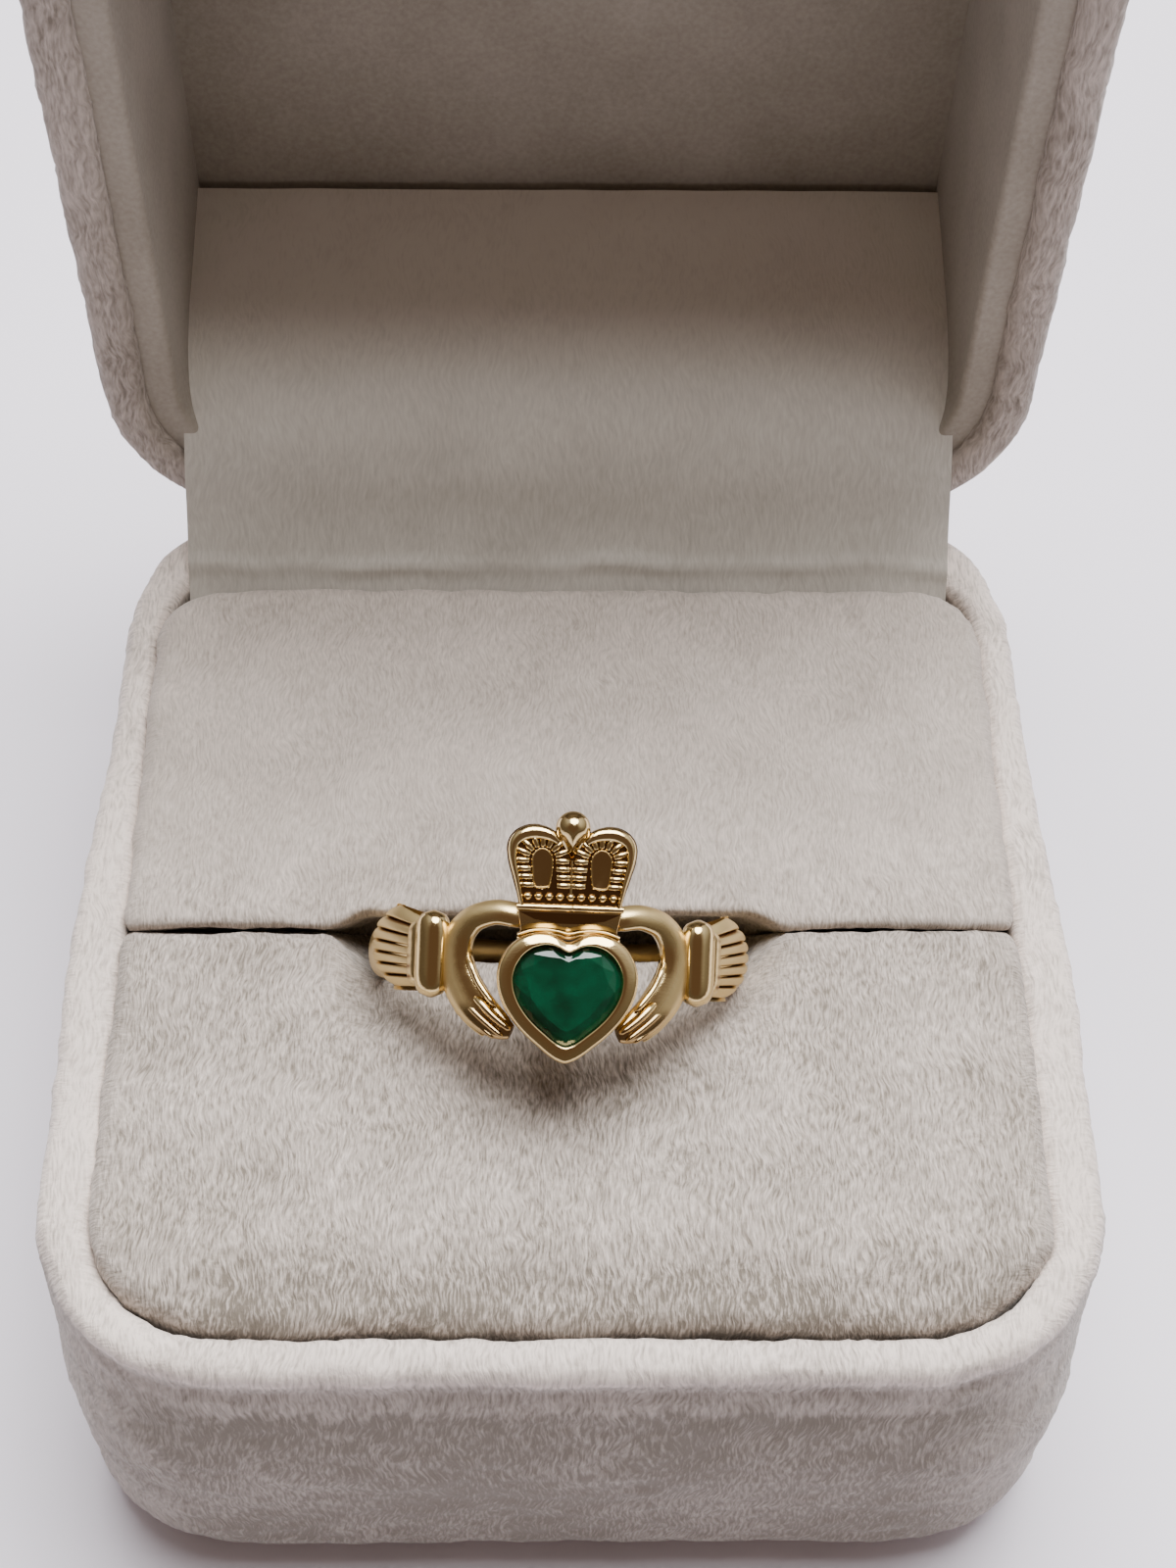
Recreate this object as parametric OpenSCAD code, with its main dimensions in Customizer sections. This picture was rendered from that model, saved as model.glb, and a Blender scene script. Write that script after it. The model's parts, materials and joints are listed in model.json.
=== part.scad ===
// A claddagh ring with a heart-shaped stone, standing in its open velvet ring box.
// Lengths are millimetres. +X is right, +Y is back, +Z is up, and the box opens to the front.
// The origin is the middle of the face that the box stands on.

/* [Box] */
// Width of the box, left to right
box_w = 53.5; // [48:0.5:64]
// Depth of the box, front to back
box_d = 56; // [50:0.5:66]
// Radius of the upright corners
box_corner_r = 10; // [8.5:0.5:13]
// Height of the base up to its rim
base_h = 24; // [21:0.5:32]
// Thickness of the base's wall with its velvet
base_wall = 3; // [2.6:0.1:3.8]
// Thickness of the base's floor
base_floor = 2; // [1.2:0.1:3]
// Radius of the edge under the base
base_edge_r = 4; // [2.5:0.25:5]

/* [Lid] */
// Height of the lid from its rim to its roof
lid_h = 20; // [17:0.5:28]
// Thickness of the lid's wall with its velvet
lid_wall = 2.6; // [2:0.1:3.4]
// Thickness of the lid's roof
lid_roof = 1.6; // [1.2:0.1:2.4]
// Radius of the edge round the roof
lid_edge_r = 5; // [3:0.25:6]
// Thickness of the felt lining
lining_t = 1.4; // [1:0.1:2]
// Distance from the lid's rim to the edge of the lining
lining_set_in = 0.8; // [0.4:0.1:2]
// Gap between the lid and what lines it
lining_gap = 0.1; // [0.05:0.05:0.3]
// Gap between the two rims when the box is shut
seam = 0.6; // [0.4:0.1:1]
// How far the lid stands open, in degrees
lid_open = 90; // [60:1:90]

/* [Hinge] */
// Distance from the back of the box to the hinge line
hinge_inset = 0.6; // [0.4:0.1:1]
// Radius of the hinge pin
pin_r = 0.4; // [0.3:0.05:0.5]
// Radius of the hinge's knuckles
knuckle_r = 1; // [0.8:0.05:1.2]
// Length of one knuckle
knuckle_len = 6; // [4:0.5:7]
// Gap between one knuckle and the next
knuckle_gap = 0.3; // [0.2:0.05:0.5]
// Running gap between the pin and its bore
pin_gap = 0.05; // [0.03:0.01:0.1]

/* [Flap] */
// Thickness of the velvet flap over the hinge
flap_t = 1.2; // [1:0.1:1.4]
// Gap on each side of the flap inside the lid
flap_side_gap = 0.2; // [0.1:0.05:0.5]
// Room for the flap between the back cushion and the back wall
flap_pocket = 3.4; // [2.8:0.1:4]
// How far the flap reaches down behind the cushion
flap_tuck = 6; // [3:0.5:10]

/* [Cushions] */
// Height of the cushions above the base's rim
pad_rise = 0.8; // [0:0.1:1]
// Radius of the cushions' rolled edge
pad_edge_r = 2.4; // [1.5:0.1:3]
// Gap between the cushions and the base
pad_gap = 0.2; // [0.1:0.05:0.4]
// Place of the slot, front to back
slot_y = -2.7; // [-6:0.1:2]
// Width of the slot between the cushions
slot_w = 0.5; // [0.3:0.05:1]
// Radius of the cushions' lips along the slot
lip_r = 1.8; // [1:0.1:2.5]

/* [Ring] */
// Inside diameter of the ring
finger_d = 17.4; // [15:0.1:20]
// Thickness of the band at its sides
band_t = 1.25; // [1:0.05:1.6]
// Width of the band at the bottom
shank_w = 1.4; // [1.2:0.05:2]
// Width of the band where the cuffs end
shoulder_w = 2.8; // [2.2:0.1:3.2]
// Lean of the ring towards the front, in degrees
ring_lean = 31; // [20:1:36]
// Turn of the ring on the cushion, in degrees
ring_turn = 2.2; // [0:0.1:4]
// Turn of the ring in its slot, round the finger, in degrees
ring_roll = 2.9; // [0:0.1:6]
// Place of the ring along the slot, left to right
ring_x = -0.75; // [-3:0.05:3]
// How far the ring stands in front of the slot's middle
ring_fore = 0.95; // [0:0.05:1.2]
// Gap between the ring and the hollow that it presses into the cushions
ring_gap = 0.35; // [0.2:0.05:0.6]

/* [Cuffs] */
// Width of a cuff at its wide end
cuff_w = 4.2; // [3.8:0.05:4.8]
// Number of lobes across a cuff
cuff_lobes = 7; // [4:1:8]
// Depth of the grooves between the lobes
groove_depth = 0.22; // [0.1:0.01:0.3]
// Length of the round bar next to a cuff
knob_len = 4.45; // [3.8:0.05:5]
// Thickness of the round bar next to a cuff
knob_d = 1.8; // [1.4:0.05:2]

/* [Heart] */
// Width of the heart over its setting
heart_w = 6.85; // [6:0.05:8]
// Height of the heart over its setting
heart_h = 6.3; // [5.6:0.05:7.2]
// Width of the setting's wall seen from the front
bezel_wall = 0.85; // [0.7:0.05:1]
// Height of the setting
bezel_h = 1.65; // [1.4:0.05:2]
// Gap round the stone inside its setting
stone_gap = 0.06; // [0.03:0.01:0.1]

/* [Hands] */
// Distance from the ring's middle line to the outside of a hand
hands_x = 6.2; // [5.8:0.05:6.6]
// Thickness of an arm
arm_t = 1.2; // [1:0.05:1.4]
// Number of fingers on a hand
fingers = 4; // [3:1:5]

/* [Crown] */
// Width of the crown
crown_w = 6.35; // [5.6:0.05:7.2]
// Height of the crown
crown_h = 4.6; // [4:0.05:5.4]
// Thickness of the crown's plate
crown_plate = 0.75; // [0.5:0.05:1]
// Radius of the orb on the crown
orb_r = 0.8; // [0.6:0.05:0.95]
// Height of the collar between the heart and the crown
collar_h = 0.95; // [0.7:0.05:1.3]
// Number of beads along the foot of the crown
crown_beads = 9; // [5:2:11]

/* [Hidden] */
$fn = 64;

// Colours
velvet = "#cdc5bd";
felt = "#a79c90";
gold = "#c9a06a";
steel = "#9a9ca0";
emerald = "#0b6b47";

// Places of the box
hinge_y = box_d / 2 - hinge_inset;
hinge_z = base_h + seam / 2;
lid_top = base_h + seam + lid_h;
knuckles = 5;
hinge_len = knuckles * knuckle_len + (knuckles - 1) * knuckle_gap;
web_h = 3;
pad_z0 = base_floor + pad_gap;
pad_top = base_h + pad_rise;
pad_w = box_w - 2 * (base_wall + pad_gap);
pad_front_y = -box_d / 2 + base_wall + pad_gap;
pad_back_y = box_d / 2 - base_wall - flap_pocket;
pad_d = pad_back_y - pad_front_y;
pad_corner_r = box_corner_r - base_wall - pad_gap;
pad_back_r = max(0.55 * pad_corner_r, pad_edge_r + 1.1);
lining_in = lid_wall + lining_gap;
lining_r = box_corner_r - lining_in;
flap_w = box_w - 2 * (lining_in + lining_t + flap_side_gap);
flap_front_y = pad_back_y + pad_gap;

// Places on the ring, seen from the front: the ring's own Y points to the crown, its Z to the viewer
finger_r = finger_d / 2;
band_r = finger_r + band_t;
face_z = finger_r + 0.05;
heart_top = heart_h * 0.2;
heart_mid = heart_top - heart_h * 0.42;
lobe_r = heart_w * 0.31;
lobe_x = heart_w / 2 - lobe_r;
collar_y = heart_top + 0.3;
crown_y = collar_y + collar_h;
crown_z = face_z + 0.2;
crown_top = crown_z + crown_plate;
knob_angle = asin((hands_x + 0.27 * knob_d) / band_r);
cuff_a0 = knob_angle + 5;
cuff_a1 = 70;
cuff_bow = 10;
cuff_rise = 0.3;
pocket_r = band_r + ring_gap;
pocket_w = shoulder_w + 2 * ring_gap;

// Outlines and sweeps

module rounded_rect(w, d, r) {
    square([w - 2 * r, d], center = true);
    square([w, d - 2 * r], center = true);
    for (x = [-1, 1], y = [-1, 1])
        translate([x * (w / 2 - r), y * (d / 2 - r)]) circle(r);
}

// Carries a section round a rounded rectangle. The section's x is 0 at the outer face.
module around(w, d, r) {
    for (corner = [[1, 1, 0], [-1, 1, 90], [-1, -1, 180], [1, -1, 270]])
        translate([corner.x * (w / 2 - r), corner.y * (d / 2 - r), 0])
            rotate([0, 0, corner.z])
                rotate_extrude(angle = 90) translate([r, 0]) children();
    for (side = [[0, d, w], [90, w, d], [180, d, w], [270, w, d]])
        rotate([0, 0, side[0]])
            translate([side[2] / 2, side[1] / 2 - r, 0])
                rotate([90, 0, 0])
                    linear_extrude(side[1] - 2 * r) children();
}

// A strip inwards from the outer face, with its lower outer corner rounded.
module edge_section(h, strip, edge_r) {
    translate([-strip, edge_r]) square([strip, h - edge_r]);
    translate([-strip, 0]) square([strip - edge_r, edge_r]);
    intersection() {
        translate([-edge_r, edge_r]) circle(edge_r);
        translate([-edge_r, 0]) square(edge_r);
    }
}

// An open tray with a round rim and a rounded lower edge.
module tray(w, d, r, h, wall, floor_t, edge_r) {
    overlap = 0.5;
    strip = max(edge_r, wall) + 2 * overlap;
    around(w, d, r) {
        difference() {
            edge_section(h - wall / 2, strip, edge_r);
            translate([-strip - 1, floor_t]) square([strip + 1 - wall, h]);
        }
        translate([-wall / 2, h - wall / 2]) circle(wall / 2);
    }
    inner = strip - overlap;
    linear_extrude(floor_t) rounded_rect(w - 2 * inner, d - 2 * inner, r - inner);
}

function arc_points(c, r, a0, a1, n) =
    [for (i = [0:n]) let (a = a0 + (a1 - a0) * i / n) [c.x + r * cos(a), c.y + r * sin(a)]];

// An outline drawn in the YZ plane and carried along X, centred on X = 0.
module across(w) {
    translate([-w / 2, 0, 0]) rotate([90, 0, 90]) linear_extrude(w) children();
}

// Hinge

function knuckle_x(i) = -hinge_len / 2 + i * (knuckle_len + knuckle_gap);

module hinge_rod(x, len, r) {
    translate([x, hinge_y, hinge_z]) rotate([0, 90, 0]) cylinder(r = r, h = len);
}

// Knuckles first, first + 2 and so on. The web runs down into the base (-1) or up into the lid (1).
module knuckle_row(first, way) {
    for (i = [first:2:knuckles - 1]) {
        hinge_rod(knuckle_x(i), knuckle_len, knuckle_r);
        translate([knuckle_x(i), hinge_y - knuckle_r, hinge_z + (way < 0 ? -web_h : 0)])
            cube([knuckle_len, knuckle_r + hinge_inset, web_h]);
    }
}

module knuckle_notches(first) {
    for (i = [first:2:knuckles - 1])
        hinge_rod(knuckle_x(i) - knuckle_gap, knuckle_len + 2 * knuckle_gap, knuckle_r + knuckle_gap);
}

module hinge_bore() {
    hinge_rod(-hinge_len, 2 * hinge_len, pin_r + pin_gap);
}

// Turns a piece of the shut lid to where the open lid stands.
module lid_place() {
    translate([0, hinge_y, hinge_z]) rotate([-lid_open, 0, 0])
        translate([0, -hinge_y, -hinge_z]) children();
}

// Box

module box_base() {
    color(velvet) difference() {
        union() {
            difference() {
                tray(box_w, box_d, box_corner_r, base_h, base_wall, base_floor, base_edge_r);
                knuckle_notches(1);
            }
            knuckle_row(0, -1);
        }
        hinge_bore();
    }
}

module hinge_pin() {
    color(steel) hinge_rod(-hinge_len / 2, hinge_len, pin_r);
}

module lid_shell() {
    color(velvet) lid_place() difference() {
        union() {
            difference() {
                translate([0, 0, lid_top]) mirror([0, 0, 1])
                    tray(box_w, box_d, box_corner_r, lid_h, lid_wall, lid_roof, lid_edge_r);
                knuckle_notches(0);
            }
            knuckle_row(1, 1);
        }
        hinge_bore();
    }
}

module lid_lining() {
    color(felt) lid_place()
        translate([0, 0, lid_top - lid_roof - lining_gap]) mirror([0, 0, 1])
            tray(box_w - 2 * lining_in, box_d - 2 * lining_in, lining_r,
                 lid_h - lid_roof - lining_gap - lining_set_in, lining_t, lining_t, lining_t);
}

// The flap's upper face in the open box, from the hinge line: share of the lid's height back,
// share of the lid's height up. It springs from behind the cushion and ends at the lid's roof.
flap_shape = [[-0.110, 0.11], [-0.015, 0.23], [0.135, 0.355], [0.375, 0.44], [0.60, 0.485]];
flap_end = [lid_h - lid_roof - lining_gap - lining_t - flap_side_gap - flap_t / 4 + seam / 2, 0.535 * lid_h];
flap_top = concat(
    [[flap_front_y, base_h - flap_tuck], [flap_front_y, base_h - 1.2 * flap_t]],
    [for (p = concat(flap_shape * lid_h, [flap_end])) [hinge_y, hinge_z] + p]);

function path_normal(path, i) =
    let (a = path[max(i - 1, 0)], b = path[min(i + 1, len(path) - 1)], d = (b - a) / norm(b - a))
    [d.y, -d.x];

// The room of a wall with the gap beside it, which the flap keeps out of.
module wall_room(z0, z1, wall) {
    t = wall + flap_side_gap;
    translate([0, 0, z0]) around(box_w, box_d, box_corner_r) translate([-t, 0]) square([t, z1 - z0]);
}

module hinge_flap() {
    rim = base_h + seam - flap_side_gap;
    under = [for (i = [len(flap_top) - 1:-1:0]) flap_top[i] + flap_t * path_normal(flap_top, i)];
    color(velvet) difference() {
        across(flap_w) polygon(concat(flap_top, under));
        wall_room(0, base_h + flap_side_gap, base_wall);
        lid_place() {
            wall_room(rim, lid_top, lid_wall);
            wall_room(rim + lining_set_in, lid_top, lining_in + lining_t);
        }
    }
}

// Cushions

// A pad from the given front to the back of the cushions, with a rolled upper edge.
module pad_block(front_y, r) {
    h = pad_top - pad_z0;
    d = pad_back_y - front_y;
    translate([0, (front_y + pad_back_y) / 2, pad_top]) mirror([0, 0, 1]) {
        around(pad_w, d, r) edge_section(h, pad_edge_r + 1, pad_edge_r);
        linear_extrude(h)
            rounded_rect(pad_w - 2 * pad_edge_r, d - 2 * pad_edge_r, r - pad_edge_r);
    }
}

// The front corners follow the base's round ones. The back corners, beside the flap, are squarer.
module cushion_block() {
    pad_block(pad_front_y, pad_corner_r);
    pad_block(pad_back_y - pad_d / 3, pad_back_r);
}

// Outline of one cushion from the side. way is -1 for the front one and 1 for the back one.
module cushion_side(way) {
    corner = slot_y + way * slot_w / 2 / cos(ring_lean);
    reach = lip_r / tan((90 - way * ring_lean) / 2);
    face = way < 0 ? ring_lean : 180 + ring_lean;
    foot = corner + (pad_top - base_floor) * tan(ring_lean);
    far = way * box_d;
    polygon(concat(
        [[far, base_floor], [far, pad_top]],
        arc_points([corner + way * reach, pad_top - lip_r], lip_r, 90, face, 10),
        [[foot, base_floor]]));
}

module cushion(way) {
    color(velvet) difference() {
        intersection() {
            cushion_block();
            across(box_w) cushion_side(way);
        }
        ring_place() rotate([90, 0, 0]) cylinder(r = pocket_r, h = pocket_w, center = true);
    }
}

module cushion_front() {
    cushion(-1);
}

module cushion_back() {
    cushion(1);
}

// Ring

module ring_place() {
    translate([ring_x, slot_y, pad_top]) rotate([ring_lean, 0, 0]) translate([0, -ring_fore, 0])
        rotate([0, 0, -ring_turn]) rotate([0, ring_roll, 0]) children();
}

function unit(v) = v / norm(v);
function on_band(a, r, y = 0) = [r * sin(a), y, r * cos(a)];
function mix(a, b, t) = a + (b - a) * t;

function grid_faces(rows, cols, closed) = concat(
    [for (i = [0:rows - (closed ? 1 : 2)], k = [0:cols - 1])
        let (n = (i + 1) % rows, m = (k + 1) % cols)
        [i * cols + k, i * cols + m, n * cols + m, n * cols + k]],
    closed ? [] : [[for (k = [cols - 1:-1:0]) k], [for (k = [0:cols - 1]) (rows - 1) * cols + k]]);

// A bar along a path. Each half size is [across, up], and up is away from the finger.
function bar_points(path, half, sides) = [for (i = [0:len(path) - 1])
    let (last = len(path) - 1,
         t = unit(path[min(i + 1, last)] - path[max(i - 1, 0)]),
         side = unit(cross(t, [path[i].x, 0, path[i].z])),
         up = cross(side, t))
    for (k = [0:sides - 1])
        path[i] + side * half[i][0] * cos(360 * k / sides) + up * half[i][1] * sin(360 * k / sides)];

module bar(path, half, sides = 10) {
    polyhedron(bar_points(path, half, sides), grid_faces(len(path), sides, false), convexity = 6);
}

// Heart outline, clockwise from the cleft: two round lobes and two bowed sides down to the point.
lobe_steps = 9;
side_steps = 5;
heart_point = [0, heart_top - heart_h];
side_bow = [heart_w * 0.268, heart_top - heart_h * 0.83];
lobe_c = [lobe_x, heart_top - lobe_r];
lobe_end = lobe_c + lobe_r * [cos(-35), sin(-35)];
cleft_a = 180 - acos(lobe_x / lobe_r) - 8;
half_heart = concat(
    arc_points(lobe_c, lobe_r, cleft_a, -35, lobe_steps),
    [for (i = [1:side_steps - 1]) let (t = i / side_steps)
        mix(mix(lobe_end, side_bow, t), mix(side_bow, heart_point, t), t)]);
heart_outline = concat(half_heart, [heart_point],
    [for (i = [len(half_heart) - 1:-1:0]) [-half_heart[i].x, half_heart[i].y]]);

function heart_at(inset, z) = let (s = 1 - 2 * inset / heart_w)
    [for (p = heart_outline) [p.x * s, heart_mid + (p.y - heart_mid) * s, z]];

function heart_stack(levels) = [for (l = levels) each heart_at(l[0], l[1])];

bezel_top = face_z + bezel_h;
seat_in = bezel_wall - 0.07;
// Section of the setting's wall, from its outer foot over the top to the seat: distance in, height
bezel_levels = [
    [0, face_z], [0, bezel_top - 0.5],
    [0.16 * bezel_wall, bezel_top - 0.16], [0.5 * bezel_wall, bezel_top],
    [bezel_wall - 0.1, bezel_top - 0.08], [bezel_wall, bezel_top - 0.28],
    [seat_in, bezel_top - 0.4], [seat_in, bezel_top - 0.6],
    [bezel_wall + 0.25, bezel_top - 0.95], [bezel_wall + 0.1, face_z]];

module bezel() {
    polyhedron(heart_stack(bezel_levels),
               grid_faces(len(bezel_levels), len(heart_outline), true), convexity = 8);
}

module shank() {
    steps = 30;
    from = cuff_a0 + 4;
    angles = [for (i = [0:steps]) mix(from, 360 - from, i / steps)];
    path = [for (a = angles) on_band(a, finger_r + band_t / 2)];
    half = [for (a = angles) let (s = pow(abs(180 - a) / (180 - cuff_a1), 1.5))
        [mix(shank_w, shoulder_w, min(s, 1)) / 2, band_t / 2]];
    bar(path, half, 12);
}

// Four places across each lobe of a cuff, from its groove: where, and how far out of the groove
lobe_place = [0, 0.16, 0.5, 0.84];
lobe_rise = [0, 0.85, 1, 0.85];
function across_lobes(k) = (floor(k / 4) + lobe_place[k % 4]) / cuff_lobes;

module cuff() {
    steps = 6;
    across_steps = 4 * cuff_lobes;
    narrow = cuff_w * 0.8;
    points = [for (i = [0:steps])
        let (s = i / steps, w = mix(narrow, cuff_w, s), top = band_r + mix(-0.05, cuff_rise, s))
        for (k = [0:across_steps + 2])
            let (over = k <= across_steps,
                 y = over ? w * (across_lobes(k) - 0.5) : w * (k == across_steps + 1 ? 0.42 : -0.42),
                 side = 2 * y / w,
                 rise = over ? lobe_rise[k % 4] : 0,
                 end = cuff_a1 - cuff_bow * side * side,
                 a = mix(cuff_a0, end, s) + (i == steps ? 2.5 * rise : 0),
                 r = over ? top - 0.45 * side * side - groove_depth * (1 - rise) : finger_r + 0.02)
            on_band(a, r, y)];
    polyhedron(points, grid_faces(steps + 1, across_steps + 3, false), convexity = 8);
}

module knob() {
    reach = (knob_len - knob_d) / 2;
    hull() for (y = [-1, 1])
        translate(on_band(knob_angle, band_r - 0.15, y * reach)) sphere(d = knob_d, $fn = 16);
    hull() for (y = [-1, 1])
        translate(on_band(knob_angle + 6, band_r - 0.25, y * reach)) sphere(d = knob_d * 0.7, $fn = 12);
    bar([for (a = [38:6:knob_angle + 16]) on_band(a, finger_r + 0.55)],
        [for (a = [38:6:knob_angle + 16]) [1.35, 0.52]], 8);
}

// Middle line of an arm: shares of the hand's reach across and of the heart's height up, then width
arm_shape = [
    [0.40, 0.332, 1.15], [0.52, 0.350, 1.15], [0.64, 0.330, 1.25], [0.76, 0.262, 1.45],
    [0.84, 0.165, 1.72], [0.875, 0.050, 1.88], [0.865, -0.080, 1.98], [0.82, -0.210, 2.05],
    [0.745, -0.325, 2.05], [0.65, -0.430, 1.90], [0.53, -0.510, 1.50]];

function on_face(x, y, r) = [x, y, sqrt(r * r - x * x)];

module hand() {
    arm_r = finger_r + 0.1 + arm_t / 2;
    bar([for (s = arm_shape) on_face(s[0] * hands_x, s[1] * heart_h, arm_r)],
        [for (s = arm_shape) [s[2] / 2 * hands_x / 6.2, arm_t / 2]], 12);
    // Fingers fan out of the palm and close on the side of the heart
    for (i = [0:fingers - 1]) {
        s = i / (fingers - 1);
        from = mix([0.700, -0.317], [0.830, -0.460], s);
        to = mix([0.420, -0.571], [0.580, -0.645], s);
        width = mix(0.66, 0.54, s) * 3 / (fingers - 1);
        hull() for (p = [from, to])
            translate(on_face(p.x * hands_x, p.y * heart_h, arm_r + 0.08)) sphere(d = width, $fn = 12);
    }
    // Thumb, along the inner edge
    hull() for (p = [[0.745, -0.100], [0.570, -0.355]])
        translate(on_face(p.x * hands_x, p.y * heart_h, arm_r + 0.05)) sphere(d = 0.55, $fn = 12);
    // The palm's underside, which joins the fingers
    hull() for (p = [[0.64, -0.31], [0.80, -0.38], [0.44, -0.52], [0.54, -0.61]])
        translate(on_face(p.x * hands_x, p.y * heart_h, arm_r - 0.12)) sphere(d = 0.6, $fn = 10);
}

module collar() {
    wide = crown_w * 0.41;
    narrow = crown_w * 0.35;
    translate([0, 0, face_z + 0.1]) linear_extrude(crown_top - face_z)
        polygon([[-narrow, collar_y - 0.25], [-lobe_x, heart_top - 0.6], [lobe_x, heart_top - 0.6],
                 [narrow, collar_y - 0.25], [wide, crown_y], [-wide, crown_y]]);
    hull() for (x = [-1, 1])
        translate([x * (wide - 0.05), crown_y - 0.05, crown_top + 0.08]) sphere(r = 0.17, $fn = 10);
}

// Outline of half the crown, from its foot to the orb: shares of half its width and of its height
crown_outline = [[0.84, -0.06], [0.86, 0.06], [0.93, 0.28], [1, 0.56], [0.985, 0.68],
                 [0.90, 0.78], [0.76, 0.85], [0.58, 0.872], [0.42, 0.85], [0.26, 0.80]];
// The rounded border inside that outline, with its half width as a third column
crown_border = [[0.81, 0.05, 0.12], [0.88, 0.28, 0.14], [0.94, 0.54, 0.18], [0.90, 0.67, 0.23],
                [0.80, 0.75, 0.27], [0.66, 0.79, 0.28], [0.50, 0.795, 0.26], [0.34, 0.76, 0.22],
                [0.22, 0.70, 0.16]];

function on_crown(p) = [p.x * crown_w / 2, crown_y + p.y * crown_h];

// One transverse ridge of the band that runs up, over and down round a panel.
module crown_ridge(s) {
    leg_low = 0.24;
    leg_high = 0.50;
    leg = (leg_high - leg_low) * crown_h;
    turn_r = crown_w * 0.152;
    turn = PI * turn_r;
    way = s * (2 * leg + turn);
    a = 180 - 180 * min(max(way - leg, 0), turn) / turn;
    drop = way < leg ? leg - way : max(way - leg - turn, 0);
    centre = [crown_w * 0.228, crown_y + leg_high * crown_h];
    translate([centre.x + turn_r * cos(a), centre.y + turn_r * sin(a) - drop, crown_top])
        rotate([0, 0, a]) rotate([0, 90, 0])
            cylinder(d = 0.3, h = crown_w * 0.085, $fn = 6, center = true);
}

module crown_panel() {
    translate([crown_w * 0.228, crown_y + 0.42 * crown_h, crown_top - 0.1])
        rotate([0, 0, -9]) hull() {
            translate([0, 0.42, 0]) cylinder(r = crown_w * 0.075, h = 0.34, $fn = 20);
            translate([-0.34, -0.95, 0]) cube([0.68, 0.1, 0.34]);
        }
}

module crown_half() {
    ridges = 13;
    bar([for (b = crown_border) [on_crown(b).x, on_crown(b).y, crown_top]],
        [for (b = crown_border) [b[2], 0.3]], 8);
    for (i = [0:ridges - 1]) crown_ridge(i / (ridges - 1));
    crown_panel();
}

module crown() {
    right = [for (p = crown_outline) on_crown(p)];
    left = [for (i = [len(right) - 1:-1:0]) [-right[i].x, right[i].y]];
    orb_y = crown_y + crown_h - orb_r;
    translate([0, 0, crown_z]) linear_extrude(crown_plate) polygon(concat(right, left));
    for (side = [0, 1]) mirror([side, 0, 0]) crown_half();
    hull() {
        translate([0, orb_y, crown_top - 0.25]) sphere(r = orb_r, $fn = 20);
        translate([0, crown_y + 0.54 * crown_h, crown_top]) sphere(r = 0.12, $fn = 8);
    }
    for (i = [0:crown_beads - 1])
        translate([crown_w * 0.70 * (i / (crown_beads - 1) - 0.5), crown_y + 0.11 * crown_h, crown_top + 0.04])
            sphere(d = crown_w * 0.074, $fn = 8);
}

module ring() {
    color(gold) ring_place() {
        shank();
        for (side = [0, 1]) mirror([side, 0, 0]) {
            cuff();
            knob();
            hand();
        }
        bezel();
        collar();
        crown();
    }
}

// Stone: a table, two rows of facets above the girdle and a pavilion that narrows below it

girdle_in = seat_in + stone_gap;
table_z = bezel_top + 0.12;
stone_levels = [
    [heart_w * 0.46, face_z + 0.1], [girdle_in + 0.62, bezel_top - 1.0],
    [girdle_in, bezel_top - 0.55], [girdle_in, bezel_top - 0.45],
    [bezel_wall + 0.12, bezel_top - 0.28], [bezel_wall + 0.42, bezel_top - 0.06],
    [bezel_wall + 0.85, table_z]];

module heart_stone() {
    color(emerald) ring_place()
        polyhedron(heart_stack(stone_levels),
                   grid_faces(len(stone_levels), len(heart_outline), false), convexity = 4);
}

box_base();
cushion_front();
cushion_back();
hinge_pin();
lid_shell();
lid_lining();
hinge_flap();
ring();
heart_stone();
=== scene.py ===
import json
import math
from contextlib import contextmanager
from functools import partial

import bmesh
import bpy
from bpy.props import FloatProperty, FloatVectorProperty, IntProperty, PointerProperty
from mathutils import Matrix, Vector, noise


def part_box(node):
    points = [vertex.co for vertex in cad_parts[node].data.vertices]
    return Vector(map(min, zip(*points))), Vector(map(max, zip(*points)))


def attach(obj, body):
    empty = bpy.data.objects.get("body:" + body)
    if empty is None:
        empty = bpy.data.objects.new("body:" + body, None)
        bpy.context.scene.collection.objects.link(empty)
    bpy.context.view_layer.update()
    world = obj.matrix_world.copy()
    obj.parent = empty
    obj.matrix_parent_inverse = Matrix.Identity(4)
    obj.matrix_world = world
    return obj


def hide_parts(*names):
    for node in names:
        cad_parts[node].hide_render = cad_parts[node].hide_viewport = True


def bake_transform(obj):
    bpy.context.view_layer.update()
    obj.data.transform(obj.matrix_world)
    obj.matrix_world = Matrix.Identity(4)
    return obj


bl_info = {
    "name": "Claddagh ring in a velvet box",
    "version": (1, 0, 0),
    "blender": (4, 5, 0),
    "location": "View3D > Sidebar > Ring box",
    "description": "Dresses a ring box and the claddagh ring that stands in it",
    "category": "Object",
}

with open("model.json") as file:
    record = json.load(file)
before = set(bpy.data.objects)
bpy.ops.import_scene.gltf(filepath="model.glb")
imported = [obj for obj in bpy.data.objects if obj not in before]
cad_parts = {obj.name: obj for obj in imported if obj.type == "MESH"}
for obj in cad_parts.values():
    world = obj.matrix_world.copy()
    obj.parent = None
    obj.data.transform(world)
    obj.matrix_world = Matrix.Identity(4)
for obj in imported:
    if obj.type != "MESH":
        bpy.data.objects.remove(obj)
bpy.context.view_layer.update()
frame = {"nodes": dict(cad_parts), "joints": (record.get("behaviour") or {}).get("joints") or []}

# Shapes are modelled in millimetres and turned to metres when a piece is finished
MM = 0.001
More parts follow.
